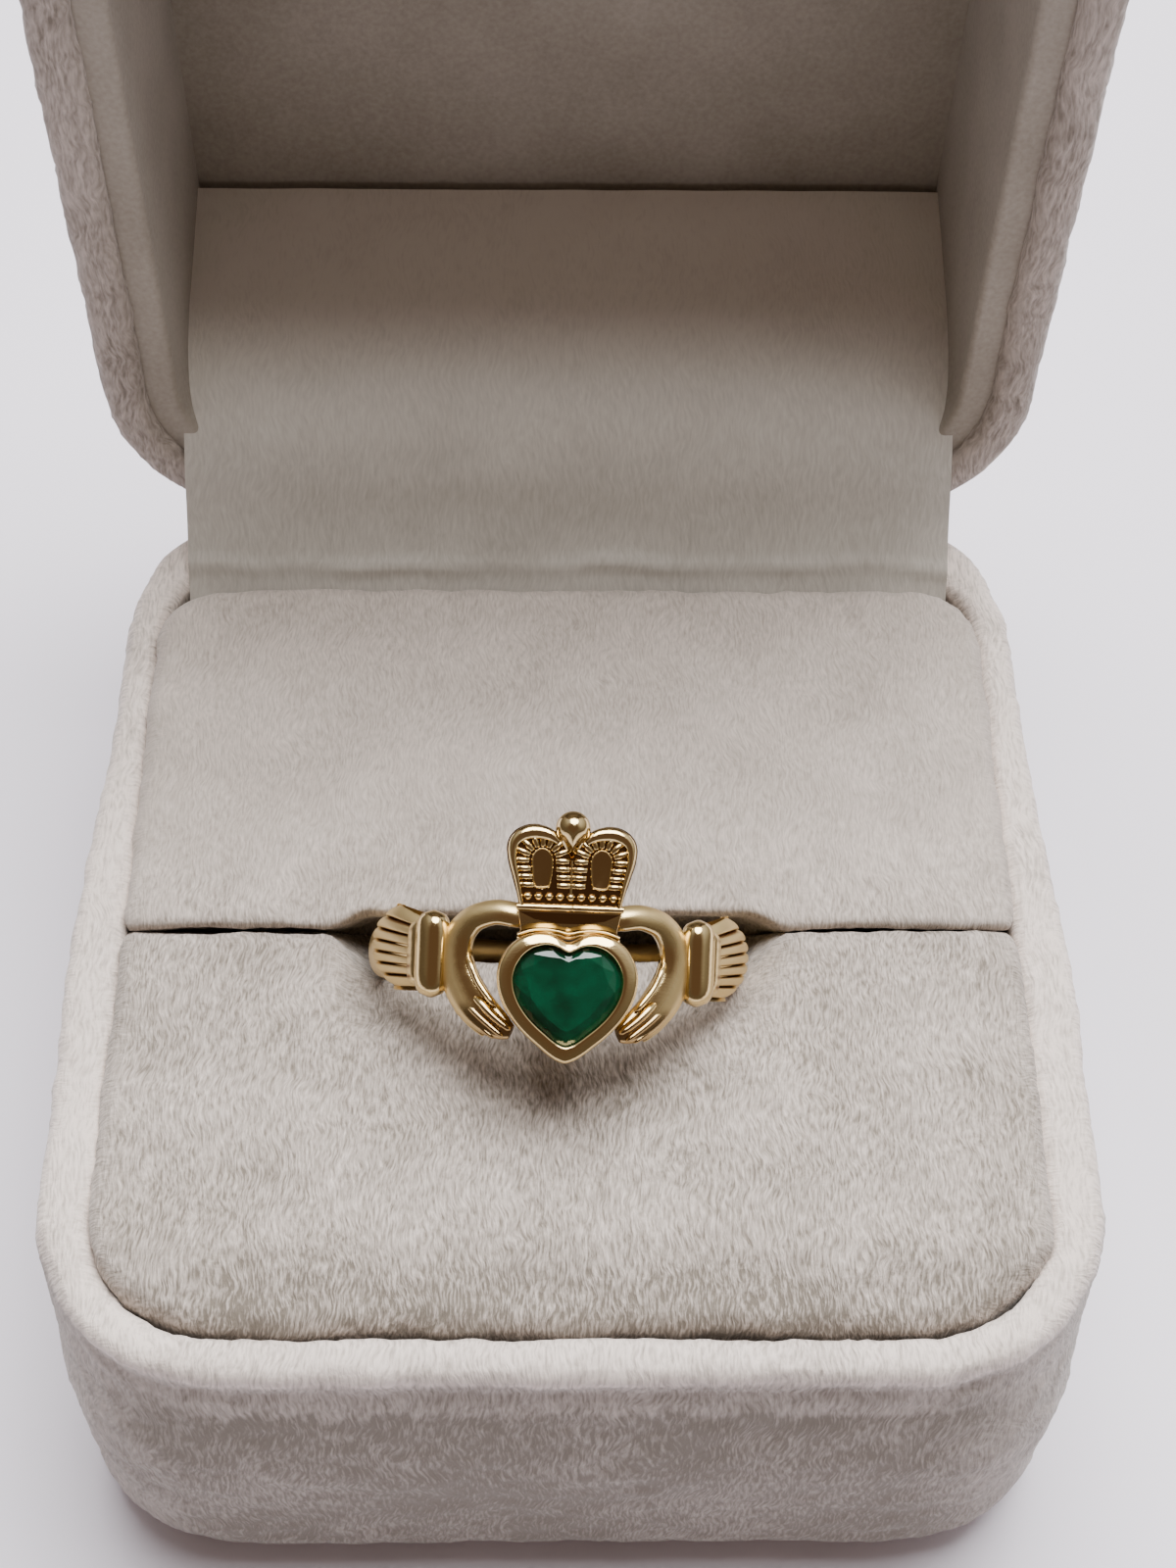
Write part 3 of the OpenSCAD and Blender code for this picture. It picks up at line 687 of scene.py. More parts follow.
class RINGBOX_OT_base(bpy.types.Operator):
    """Makes the velvet-covered base with its rolled rim"""
    bl_idname = "ringbox.base"
    bl_label = "Base"

    def execute(self, context):
        box = context.scene.ring_box_sizes
        wall, round_r = mm(box, "base_wall"), mm(box, "corner_r")
        high = Vector((BASE_HIGH.x, BASE_HIGH.y, mm(box, "base_h")))
        obj = tray("base_shell", BASE_LOW, high, round_r, mm(box, "base_edge_r"), wall, mm(box, "base_floor"),
                   wall * 0.33, True)
        obj = hinged(obj, box, 0, -1)
        half = Vector((high.x, high.y)) - Vector((1, 1)) * round_r
        # The wall starts to lean back at bend_z. The roll of the rim starts at roll_z and is full at full_z
        bend_z, full_z, roll_z = 13, 20, high.z - 1.5
        # side_back is how far the back of the side rims stands inside the side walls
        set_back, side_back, lean_in = mm(box, "rim_set_back"), 0.75, mm(box, "rim_lean_in")
        # Depth of the crease under the roll, height of the loose cloth's waves, and swell of the lower front corners
        crease, wave, corner_swell = 0.22, 0.3, 0.55

        def from_wall(place):
            """How deep a place is inside the outer face, and which way that face looks."""
            dx, dy = abs(place.x) - half.x, abs(place.y) - half.y
            q = Vector((max(dx, 0), max(dy, 0)))
            depth = round_r - q.length
            if q.length < NEAR:
                q = Vector((1, 0)) if dx > dy else Vector((0, 1))
                depth = round_r - max(dx, dy)
            q.normalize()
            return depth, Vector((math.copysign(q.x, place.x), math.copysign(q.y, place.y), 0))

        def edge_wave(place):
            return noise.noise(Vector((place.x / 6, place.y / 6, 7)))

        def board(place, normal):
            """The front of the rim stands back from the wall as a loose roll, and the sides draw in behind."""
            depth, out = from_wall(place)
            front, side = max(-out.y, 0), out.x ** 2
            back_off = set_back * front + side_back * side * ease((place.y + 4) / 16)
            back_off *= ease((place.z - bend_z) / 10) * ease((HINGE.y - 1.5 - place.y) / 4)
            over = lean_in * front * front * ease((place.z - full_z) / 3)
            under = crease * front * bump_at(place.z - roll_z + 0.5, 0.45) * fade(depth, 1.2)
            loose = wave * edge_wave(place) * ease((place.z - roll_z) / 1.0) * ease((HINGE.y - 3 - place.y) / 4)
            full = 4 * side * out.y ** 2 * ease(-place.y / 8) * fade(place.z - bend_z, 7)
            return place - out * (mix(back_off, over, ease(depth / wall)) + under - corner_swell * full) + \
                normal * loose

        shaped(obj, board)
        raise_pile(obj, mm(box, "pile"), 1.6)
        shaped(obj, lambda place, normal: Vector((place.x, place.y, max(place.z, 0))))
        smooth(obj)
        # Painted shade darkens the outer face towards the front, and painted light makes the rim paler
        wall_tone, front_tone, rim_tone = 0.28, 0.06, 0.85

        def on_rim(p):
            return ease((p.z - roll_z - 0.15 - 0.25 * edge_wave(p * 2)) / 0.5)

        def tone(p):
            depth, out = from_wall(p)
            below = mix(wall_tone, front_tone, max(-out.y, 0) ** 6) if depth < wall / 2 else wall_tone
            return mix(below, rim_tone, on_rim(p))

        mark_pile(obj, lambda p: mix(0.5, 0.9, on_rim(p)), tone)
        finish_piece(obj, "base", "velvet", shell_velvet(), "box_base")
        return {"FINISHED"}


class RINGBOX_OT_lid(bpy.types.Operator):
    """Makes the velvet-covered lid, standing open"""
    bl_idname = "ringbox.lid"
    bl_label = "Lid"

    def execute(self, context):
        box = context.scene.ring_box_sizes
        foot, wall = lid_foot(box), mm(box, "lid_wall")
        low = Vector((BASE_LOW.x, BASE_LOW.y, foot))
        high = Vector((BASE_HIGH.x, BASE_HIGH.y, foot + mm(box, "lid_h")))
        obj = tray("lid_velvet", low, high, mm(box, "corner_r"), mm(box, "lid_edge_r"), wall, mm(box, "lid_roof"),
                   wall * 0.3, False)
        obj = hinged(obj, box, 1, 1)
        raise_pile(obj, mm(box, "pile"), 2.2)
        smooth(obj)
        # Painted light makes the rim paler, and painted shade makes the rest of the lid darker
        rim_tone, roof_tone, rim_reach = 0.3, 0.09, 2.0
        mark_pile(obj, lambda p: 0.55, lambda p: mix(rim_tone, roof_tone, ease((p.z - foot) / rim_reach)))
        finish_piece(obj, "lid", "velvet", shell_velvet(), "lid_shell", place=open_lid())
        return {"FINISHED"}


class RINGBOX_OT_lining(bpy.types.Operator):
    """Makes the felt lining of the lid"""
    bl_idname = "ringbox.lining"
    bl_label = "Lid lining"

    def execute(self, context):
        box = context.scene.ring_box_sizes
        # Pressed felt fills the gaps that the solids keep beside it
        press = 0.35
        inset, t, foot = mm(box, "lid_wall") - press, mm(box, "lining_t"), lid_foot(box)
        top = foot + mm(box, "lid_h") - mm(box, "lid_roof") - mm(box, "lining_gap")
        low = Vector((BASE_LOW.x + inset, BASE_LOW.y + inset, foot + mm(box, "lining_set_in")))
        high = Vector((BASE_HIGH.x - inset, BASE_HIGH.y - inset, top))
        # Its sides reach in as far as the flap, so that they meet it
        side_t = BASE_HIGH.x - inset - FLAP_HIGH.x
        obj = tray("lid_felt", low, high, mm(box, "corner_r") - inset, t, side_t, t, t * 0.3, False)
        smooth(obj, 40)
        finish_piece(obj, "lid", "felt", felt(), "lid_lining", place=open_lid())
        return {"FINISHED"}


# The flap's middle in the open box, from the hinge line: share of the lid's height back, share of it up
FLAP_SHAPE = [(-0.110, 0.11), (-0.015, 0.23), (0.135, 0.355), (0.375, 0.44), (0.60, 0.485)]
FLAP_TOP = 0.535


class RINGBOX_OT_flap(bpy.types.Operator):
    """Makes the velvet flap that covers the hinge inside the box"""
    bl_idname = "ringbox.flap"
    bl_label = "Flap"

    def execute(self, context):
        box = context.scene.ring_box_sizes
        lid_h, base_h, thick = mm(box, "lid_h"), mm(box, "base_h"), 1.2
        front, foot = FLAP_LOW.y, FLAP_LOW.z
        path = [(front, foot), (front, mix(foot, base_h, 0.5)), (front + 0.05, base_h - 1.4)]
        path += [(HINGE.y + back * lid_h, HINGE.z + up * lid_h) for back, up in FLAP_SHAPE]
        path.append((FLAP_HIGH.y - thick / 4, HINGE.z + FLAP_TOP * lid_h))
        path = through(path, 12)
        # A little over the solid's width, so that it meets the felt
        wide = FLAP_HIGH.x - FLAP_LOW.x + 0.15
        obj = add_shape("flap_velvet", bpy.ops.mesh.primitive_grid_add, x_subdivisions=60, y_subdivisions=90, size=1)
        ways = [0]
        for a, b in zip(path, path[1:]):
            ways.append(ways[-1] + math.dist(a, b))

        def on_path(share):
            way = share * ways[-1]
            i = max(k for k in range(len(ways) - 1) if ways[k] <= way + NEAR)
            t = (way - ways[i]) / (ways[i + 1] - ways[i])
            a, b = path[i], path[i + 1]
            along = Vector((b[0] - a[0], b[1] - a[1])).normalized()
            return mix(a[0], b[0], t), mix(a[1], b[1], t), along, way

        # A crease runs across the flap just over the cushion, and the rest is slightly uneven
        crease_way, crease_h, crease_w, uneven = base_h + mm(box, "seam") - foot + 0.4, 0.35, 0.4, 0.08

        def move(place, normal):
            y, z, along, way = on_path(place.y + 0.5)
            x = place.x * wide
            wave = 0.6 * noise.noise(Vector((x / 5, 0, 3)))
            height = crease_h * (0.6 + 0.8 * noise.noise(Vector((x / 7, 5, 0))))
            out = height * bump_at(way - crease_way - wave, crease_w) + \
                uneven * noise.noise(Vector((x / 3, y / 3, z / 3)))
            return Vector((x, y - along.y * out, z + along.x * out))

        shaped(obj, move)
        thicken(obj, thick)
        # The upper part lies in the lid's shade, and painted light makes its pile paler there
        mark_pile(obj, lambda p: 0.12, lambda p: mix(0.48, 1.0, ease((p.z - 27) / 7)))
        dress(obj, velvet("short_pile_velvet", 0.16, 0.8, "flap_light"))
        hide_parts("hinge_flap")
        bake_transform(obj)
        return {"FINISHED"}


# Cushions

def slot_normal(lean):
    """The way that the slot's faces look: towards the back and up out of the leaning slot."""
    return Vector((0, math.cos(lean), math.sin(lean)))


def cushion(name, low, high, way, material, node):
    """One foam pad: rolled outer edge, round lip along the leaning slot, and pushed away by the ring.

    low and high are its solid's box. way is 1 behind the slot and -1 in front of it.
    """
    scene = bpy.context.scene
    box, pads, ring = scene.ring_box_sizes, scene.ring_box_cushions, scene.ring_box_ring
    front = way < 0
    side = mm(pads, "side_press")
    whole_low = Vector((PAD_LOW.x - side, PAD_LOW.y, PAD_LOW.z))
    whole_high = Vector((PAD_HIGH.x + side, BACK_HIGH.y, PAD_HIGH.z))
    wall_gap, lip_depth = 0.2, 3
    corner_r = mm(box, "corner_r") - mm(box, "base_wall") - wall_gap
    obj = rounded_block(name, whole_low, whole_high, corner_r, mm(pads, "edge_r"), whole_high.z,
                        mm(pads, "back_corner_r"))
    normal = slot_normal(ring.lean)
    up_slot = Vector((0, -math.sin(ring.lean), math.cos(ring.lean)))
    middle = Vector((0, mm(pads, "slot_y"), whole_high.z))
    cut = middle - normal * way * mm(pads, "slot_press") / 2
    with editing(obj):
        bpy.ops.mesh.bisect(plane_co=cut, plane_no=normal, use_fill=True, clear_inner=not front, clear_outer=front)
        select_where(obj, "edges", lambda e: all(abs((v.co - cut).dot(normal)) < NEAR
                                                 and v.co.z > whole_high.z - lip_depth for v in e.verts))
        bpy.ops.mesh.bevel(offset=mm(pads, "lip_r") * 0.9, segments=8, affect="EDGES")
    soften(obj, 0.42, 5)

    inner = mm(ring, "finger_d") / 2
    radius = inner + mm(ring, "band_t")
    push = mm(pads, "front_push" if front else "back_push")
    span = (whole_high.x - whole_low.x) / 2
    near, far = cut.y, (low.y if front else high.y)
    # How far round the ring the slot is pushed open and the foam dips, and how far into the pad both reach
    open_reach, dip_reach, push_reach, dip_into = 2.4, 6.0, 7.0, 4.0
    band_push, dip = 0.85, 0.4
    tuck = mm(box, "rim_lean_in") + 0.15

    def move(place, face):
        off = (place - cut).dot(normal) * way
        down = min((place - middle).dot(up_slot), 0)
        reach = math.hypot(place.x - mm(ring, "place_x"), down)
        clear = reach - radius - 0.1
        # The front cushion also gives way to the band, which is widest at its sides
        band = bump_at(reach - inner - 0.6, 1.1) * mix(1.0, 0.35, ease(-down / radius)) if front else 0
        away = (push * fade(clear, open_reach) + band_push * band) * fade(off, push_reach)
        along = min(max((place.y - near) / (far - near), 0), 1)
        swell = mm(pads, "crown") * (1 - (place.x / span) ** 4) * math.sin(math.pi * min(along * 1.1 + 0.1, 1))
        high_up = ease((place.z - whole_low.z) / (whole_high.z - whole_low.z))
        rounding = mm(pads, "front_drop") * fade(place.y - whole_low.y, 5.0)
        place = place + normal * way * away
        # The front edge goes in under the rim, away from the view
        place.y += tuck * fade(place.y - low.y, 6) * ease((place.z - 17) / 4)
        place.z += (swell - rounding) * high_up - dip * fade(clear, dip_reach) * fade(off, dip_into) * high_up
        return place

    shaped(obj, move)
    raise_pile(obj, mm(box, "pile") * 1.3, 2.6)
    smooth(obj)

    def nap(p):
        if front:
            return mix(1.0, 0.75, ease((p.y - low.y - 1.5) / 5))
        return mix(0.6, 0.3, ease((p.y - near) / 9))

    # Painted light makes the back cushion paler on top than the front one
    # Painted shade darkens the front cushion's front edge, both cushions low down, and the back cushion's lip at the
    # slot
    edge_tone, top_tone = 0.18, 0.33 if front else 0.42

    def tone(p):
        edge = ease((p.y - low.y - 0.8) / 4.5) if front else 1
        deep = ease((p.z - whole_high.z + 3.2) / 2.2)
        lip = 1 if front else 1 - 0.2 * fade(abs((p - cut).dot(normal)), 1.5)
        return mix(edge_tone, top_tone, edge) * mix(0.5, 1, deep) * lip

    mark_pile(obj, nap, tone)
    finish_piece(obj, "base", "cushion_velvet", material, node)


class RINGBOX_OT_cushions(bpy.types.Operator):
    """Makes the two velvet cushions that grip the ring"""
    bl_idname = "ringbox.cushions"
    bl_label = "Cushions"

    def execute(self, context):
        material = velvet("brushed_velvet", 0.12, 0.6)
        cushion("cushion_front_pad", PAD_LOW, PAD_HIGH, -1, material, "cushion_front")
        cushion("cushion_back_pad", BACK_LOW, BACK_HIGH, 1, material, "cushion_back")
        return {"FINISHED"}


# Ring, in its own place: Y points to the crown and Z out of the heart

# Height of the face that carries the heart and the crown, over the ring's middle
FACE_Z = 8.75
HEART_CENTRE = Vector((0, -1.4, 0))
# Size of the opening for the stone, as a share of the heart
STONE_SHARE = 0.754

# Right half of the heart's outer edge, from the cleft to the point
HEART_EDGE = [(0.32, 0.93), (0.70, 1.13), (1.25, 1.25), (1.95, 1.16), (2.62, 0.80), (3.12, 0.22), (3.41, -0.50),
              (3.43, -1.25), (3.20, -2.10), (2.72, -2.93), (2.08, -3.66), (1.36, -4.28), (0.62, -4.84), (0.22, -5.03)]
HEART_CLEFT = (0.0, 0.82)
HEART_POINT = (0.0, -5.08)


def ring_place():
    """Carries the ring from its own place to where it stands in the slot."""
    scene = bpy.context.scene
    ring = scene.ring_box_ring
    stand = Vector((mm(ring, "place_x"), mm(scene.ring_box_cushions, "slot_y"), PAD_HIGH.z))
    in_slot = Matrix.Translation(stand) @ Matrix.Rotation(ring.lean, 4, "X")
    forward = Matrix.Translation((0, -mm(ring, "fore"), 0))
    return in_slot @ forward @ Matrix.Rotation(-ring.turn, 4, "Z") @ Matrix.Rotation(ring.roll, 4, "Y")


def finish_gold(obj, recess=lambda p: 0, satin=lambda p: 0):
    set_mark(obj, "recess", recess)
    set_mark(obj, "satin", satin)
    finish_piece(obj, "base", "gold", gold(), "ring", place=ring_place())


def on_band(angle, radius, y=0.0):
    return Vector((radius * math.sin(angle), y, radius * math.cos(angle)))


def radial(point):
    return Vector((point.x, 0, point.z)).normalized()


def heart_points():
    left = [(-x, y) for x, y in reversed(HEART_EDGE)]
    return [HEART_CLEFT] + HEART_EDGE + [HEART_POINT] + left


class RINGBOX_OT_setting(bpy.types.Operator):
    """Makes the rolled setting round the heart"""
    bl_idname = "ringbox.setting"
    bl_label = "Setting"

    def execute(self, context):
        top = FACE_Z + mm(context.scene.ring_box_ring, "bezel_h")
        # The wall's section from the outer foot over the crest to the inner foot: share of the way in to the
        # stone, height from the top
        section = [(0.08, -1.65), (0.01, -1.30), (0.0, -0.95), (0.0, -0.60), (0.02, -0.40), (0.06, -0.27),
                   (0.12, -0.195), (0.20, -0.155), (0.32, -0.115), (0.44, -0.08), (0.56, -0.045), (0.66, -0.02),
                   (0.74, -0.005), (0.80, 0.0), (0.86, -0.02), (0.91, -0.07), (0.95, -0.16), (0.98, -0.28),
                   (1.0, -0.45), (1.0, -0.62), (0.85, -1.0), (1.05, -1.3), (1.05, -1.65)]
        obj = outline("ring_setting", heart_points(), 5)
        rim = [v.co - HEART_CENTRE for v in obj.data.vertices]
        scale, height = 1.0, 0.0
        with editing(obj):
            for i, (share, rise) in enumerate(section):
                if i:
                    bpy.ops.mesh.extrude_region_move()
                new_scale, new_height = 1 - (1 - STONE_SHARE) * share, top + rise
                bpy.ops.transform.resize(value=(new_scale / scale, new_scale / scale, 1),
                                         center_override=(HEART_CENTRE.x, HEART_CENTRE.y, height))
                bpy.ops.transform.translate(value=(0, 0, new_height - height))
                scale, height = new_scale, new_height
            select_where(obj, "edges", lambda e: e.is_boundary)
            bpy.ops.mesh.bridge_edge_loops()
            face_outward()
        smooth(obj, 50)

        def satin(p):
            """The outer edge is worn to a satin. Its share of the way in tells it from the slope."""
            flat = Vector((p.x, p.y, 0)) - HEART_CENTRE
            edge = max(rim, key=lambda r: r.normalized().dot(flat.normalized()))
            share = (1 - flat.length / edge.length) / (1 - STONE_SHARE)
            return 0.5 * fade(share - 0.06, 0.12)

        finish_gold(obj, satin=satin)
        return {"FINISHED"}


class RINGBOX_OT_stone(bpy.types.Operator):
    """Cuts the green heart: a table, two rows of facets round it, a girdle and a pavilion"""
    bl_idname = "ringbox.stone"
    bl_label = "Stone"

    def execute(self, context):
        top = FACE_Z + mm(context.scene.ring_box_ring, "bezel_h")
        corners = 16
        guide = outline("green_heart", heart_points(), 8)
        loop = [v.co.copy() for v in guide.data.vertices]
        bpy.data.objects.remove(guide)

        def ring_of(scale, z, shift):
            places = []
            for k in range(corners):
                p = loop[int(((k + shift) / corners * len(loop)) % len(loop))]
                places.append(Vector((p.x * scale, HEART_CENTRE.y + (p.y - HEART_CENTRE.y) * scale, z)))
            return places

        # The girdle goes in under the setting's edge. Rows of corners run from the culet to the table, and a row
        # that is shifted by half a corner makes triangles with its neighbours
        girdle = STONE_SHARE * 1.06
        rows = [ring_of(0.10, FACE_Z + 0.1, 0), ring_of(0.50, top - 1.05, 0.5), ring_of(girdle, top - 0.58, 0),
                ring_of(girdle, top - 0.52, 0), ring_of(0.68, top - 0.33, 0.5), ring_of(0.57, top - 0.22, 0)]
        mesh = bmesh.new()
        verts = [[mesh.verts.new(p) for p in row] for row in rows]
        girdle_row, shifted_above = 2, (0, 3)
        for i, (a, b) in enumerate(zip(verts, verts[1:])):
            for k in range(corners):
                n = (k + 1) % corners
                if i == girdle_row:
                    mesh.faces.new((a[k], a[n], b[n], b[k]))
                elif i in shifted_above:
                    mesh.faces.new((a[k], a[n], b[k]))
                    mesh.faces.new((a[n], b[n], b[k]))
                else:
                    mesh.faces.new((a[k], b[n], b[k]))
                    mesh.faces.new((a[k], a[n], b[n]))
        mesh.faces.new(verts[0])
        mesh.faces.new(verts[-1])
        bmesh.ops.recalc_face_normals(mesh, faces=mesh.faces)
        data = bpy.data.meshes.new("green_heart")
        mesh.to_mesh(data)
        mesh.free()
        obj = bpy.data.objects.new("green_heart", data)
        context.collection.objects.link(obj)
        finish_piece(obj, "base", "green_stone", green_stone(), "heart_stone", place=ring_place())
        return {"FINISHED"}


# Middle line of the right arm and the back of its hand: across, up, half its width, half its height
ARM = [(2.30, 2.05, 0.58, 0.44), (2.70, 2.10, 0.60, 0.52), (3.53, 2.19, 0.60, 0.58), (4.41, 1.95, 0.64, 0.61),
       (4.95, 1.52, 0.69, 0.63), (5.31, 0.93, 0.76, 0.65), (5.45, 0.18, 0.81, 0.66), (5.38, -0.58, 0.87, 0.65),
       (5.12, -1.35, 0.96, 0.62), (4.72, -2.02, 0.98, 0.55), (4.22, -2.62, 0.92, 0.45), (3.66, -3.10, 0.82, 0.36),
       (3.05, -3.48, 0.62, 0.30), (2.62, -3.68, 0.36, 0.22)]

# Thumb and fingers, from the hand to the tip: across and up three times, half the width, height over the arm's middle
FINGERS = [((4.80, -0.15), (4.32, -1.28), (3.42, -2.44), 0.21, 0.42),
           ((4.40, -2.00), (3.62, -2.80), (2.66, -3.56), 0.25, 0.36),
           ((4.82, -2.36), (4.06, -3.06), (3.02, -3.90), 0.21, 0.30),
           ((5.08, -2.55), (4.42, -3.20), (3.42, -4.00), 0.19, 0.12),
           ((5.27, -2.72), (4.66, -3.36), (3.92, -3.92), 0.13, -0.10)]


class RINGBOX_OT_hands(bpy.types.Operator):
    """Makes the two hands that hold the heart"""
    bl_idname = "ringbox.hands"
    bl_label = "Hands"

    def execute(self, context):
        ring = context.scene.ring_box_ring
        arm_r = mm(ring, "finger_d") / 2 + 0.7
        finger_sink, finger_high = 0.35, 0.34

        def on_face(x, y, lift=0.0):
            return Vector((x, y, math.sqrt(arm_r ** 2 - x * x) + lift))

        def upward(point, down=0.0):
            return (radial(point) * 0.35 + Vector((0, -down, 0.65))).normalized()

        arm = through(ARM, 5)
        places = [(on_face(x, y), wide, high, upward(on_face(x, y))) for x, y, wide, high in arm]
        parts = [sweep("arm", places, 32, 0.85, 0.35)]
        for *way, half, lift in FINGERS:
            places = []
            line = through(way, 9)
            for k, (x, y) in enumerate(line):
                t = k / (len(line) - 1)
                point = on_face(x, y, lift - finger_sink * fade(t, 0.25))
                size = half * mix(1.0, 0.82, t) * math.sqrt(max(1 - t ** 9, 0.03))
                places.append((point, size, min(size * 1.35, finger_high), upward(point, 0.3)))
            parts.append(sweep("finger", places, 16))
        right = joined("hand", parts)
        hands = joined("ring_hands", [right, mirrored(right)])
        middle_line = [Vector(row[:2]) for row in arm]

        def outside(p):
            """How far a place is to the outside of the arm's middle line, in millimetres."""
            flat = Vector((abs(p.x), p.y))
            middle = min(middle_line, key=lambda m: (m - flat).length)
            return (flat - middle).dot((middle - HEART_CENTRE.xy).normalized())

        def fingers(p):
            return ease((-2.2 - p.y) / 0.8) * fade(outside(p) - 0.55, 0.3)

        # Painted dark reflection on the fingers
        finish_gold(hands, recess=lambda p: 0.55 * fingers(p),
                    satin=lambda p: 0.1 + 0.75 * ease((outside(p) + 0.15) / 0.5) * (1 - fingers(p)))
        return {"FINISHED"}


class RINGBOX_OT_cuffs(bpy.types.Operator):
    """Makes the fluted cuffs and the round bars beside them"""
    bl_idname = "ringbox.cuffs"
    bl_label = "Cuffs and bars"

    def execute(self, context):
        ring = context.scene.ring_box_ring
        inner = mm(ring, "finger_d") / 2
        band_r = inner + mm(ring, "band_t")
        bar_d, bar_len, wide = mm(ring, "bar_d"), mm(ring, "bar_len"), mm(ring, "cuff_w")
        lobes, groove = ring.cuff_lobes, mm(ring, "groove")
        # The cuffs stand a little towards the crown
        cuff_up = 0.35
        # The bar stands next to the hand. The cuff starts behind it, and ends in a bow with a lobe's tip on it
        bar_angle = math.asin((6.2 + 0.27 * bar_d) / band_r)
        start, reach, bow, tip = bar_angle + math.radians(4.5), *map(math.radians, (71, 10.5, 2.6))
        cuff = add_shape("cuff", bpy.ops.mesh.primitive_grid_add, x_subdivisions=24, y_subdivisions=lobes * 14,
                         size=1)

        def width(s):
            return wide * mix(0.79, 1.0, s)

        def end(side):
            return reach - bow * side * side

        def cut(s, v):
            """Depth of the cut between two lobes, from 0 to 1. The outermost lobes have no cut on the outside."""
            f = (v * lobes) % 1.0
            edge = min(f, 1 - f) if 0.5 < v * lobes < lobes - 0.5 else 0.5
            return bump_at(edge, 0.12) * ease((s + 0.02) / 0.1) * fade(s - 0.84, 0.08)

        def move(place, normal):
            """s is the share of the way along the cuff, and v of the way across it."""
            s, v = place.x + 0.5, place.y + 0.5
            side = 2 * (v - 0.5)
            f = (min(max(v, 1e-6), 1 - 1e-6) * lobes) % 1.0
            lobe = math.sqrt(max(1 - (2 * f - 1) ** 2, 0))
            angle = mix(start, end(side), s) + tip * lobe * ease((s - 0.75) / 0.25)
            rise = mix(0.0, 0.32, s) + 0.13 * lobe * s
            roll = 0.4 * max((s - 0.86) / 0.14, 0) ** 2
            drop = 0.6 * abs(side) ** 3
            return on_band(angle, band_r + rise - drop - groove * cut(s, v) - roll, width(s) / 2 * side + cuff_up * s)

        shaped(cuff, move)
        thicken(cuff, 0.8)

        def bar(angle, radius, reach, size, square):
            places = []
            sections = 20
            for k in range(sections + 1):
                t = 2 * k / sections - 1
                cap = math.sqrt(max(1 - abs(t) ** 6, 0.015))
                point = on_band(angle, radius, t * reach)
                places.append((point, size * cap, size * 0.92 * cap, radial(point)))
            return sweep("bar", places, 28, square)

        # The bar, and the thinner step between it and the cuff
        parts = [cuff, bar(bar_angle, band_r - 0.1, bar_len / 2, bar_d / 2, 0.95),
                 bar(bar_angle + math.radians(5.2), band_r - 0.12, bar_len * 0.385, bar_d * 0.36, 0.9)]
        # The neck joins the bar to the hand
        neck = [on_band(math.radians(a), inner + 0.55) for a in range(36, 58, 3)]
        parts.append(sweep("neck", [(p, 1.35, 0.52, radial(p)) for p in neck], 16, 0.8))
        right = joined("cuff_and_bar", parts)
        both = joined("ring_cuffs", [right, mirrored(right)])

        def where(p):
            """Share of the way along a cuff and across it."""
            along = math.atan2(abs(p.x), p.z)
            s = (along - start) / (end(2 * (p.y - cuff_up) / wide) - start)
            shown = min(max(s, 0), 1)
            return s, (p.y - cuff_up * shown) / width(shown) + 0.5

        # Painted shade in the grooves between the lobes
        def recess(p):
            s, v = where(p)
            outer = ease((math.hypot(p.x, p.z) - band_r + 0.45) / 0.1)
            return 1.2 * cut(s, v) * outer if s > 0 and 0 < v < 1 else 0.0

        finish_gold(both, recess, lambda p: 0.8 * ease(where(p)[0] / 0.06))
        return {"FINISHED"}


class RINGBOX_OT_shank(bpy.types.Operator):
    """Makes the plain band that goes round the finger"""
    bl_idname = "ringbox.shank"
    bl_label = "Shank"

    def execute(self, context):
        ring = context.scene.ring_box_ring
        inner = mm(ring, "finger_d") / 2
        half = mm(ring, "band_t") / 2
        narrow, wide = mm(ring, "shank_w") / 2, mm(ring, "shoulder_w") / 2
        # The band is open in front, where the hands close it, and narrows from its shoulders down
        front, shoulder = math.radians(42), math.radians(76)
        obj = add_shape("ring_shank", bpy.ops.mesh.primitive_torus_add, major_radius=inner + half, minor_radius=half,
                        major_segments=180, minor_segments=24, rotation=(math.pi / 2, 0, 0))
        bpy.ops.object.transform_apply()

        def angle_of(place):
            return math.atan2(place.x, place.z)

        with editing(obj):
            select_where(obj, "faces", lambda f: abs(angle_of(f.calc_center_median())) < front)
            bpy.ops.mesh.delete(type="FACE")
            select_where(obj, "edges", lambda e: e.is_boundary)
            bpy.ops.mesh.fill_holes(sides=0)

        def move(place, normal):
            """The inside is flattened to fit the finger."""
            angle = angle_of(place)
            share = min((math.pi - abs(angle)) / (math.pi - shoulder), 1) ** 1.5
            out = (math.hypot(place.x, place.z) - inner - half) / half
            if out < 0:
                out = -abs(out) ** 0.45
            return on_band(angle, inner + half + out * half, place.y / half * mix(narrow, wide, share))

        shaped(obj, move)
        outward(obj)
        smooth(obj, 50)
        finish_gold(obj, satin=lambda p: 0.6)
        return {"FINISHED"}


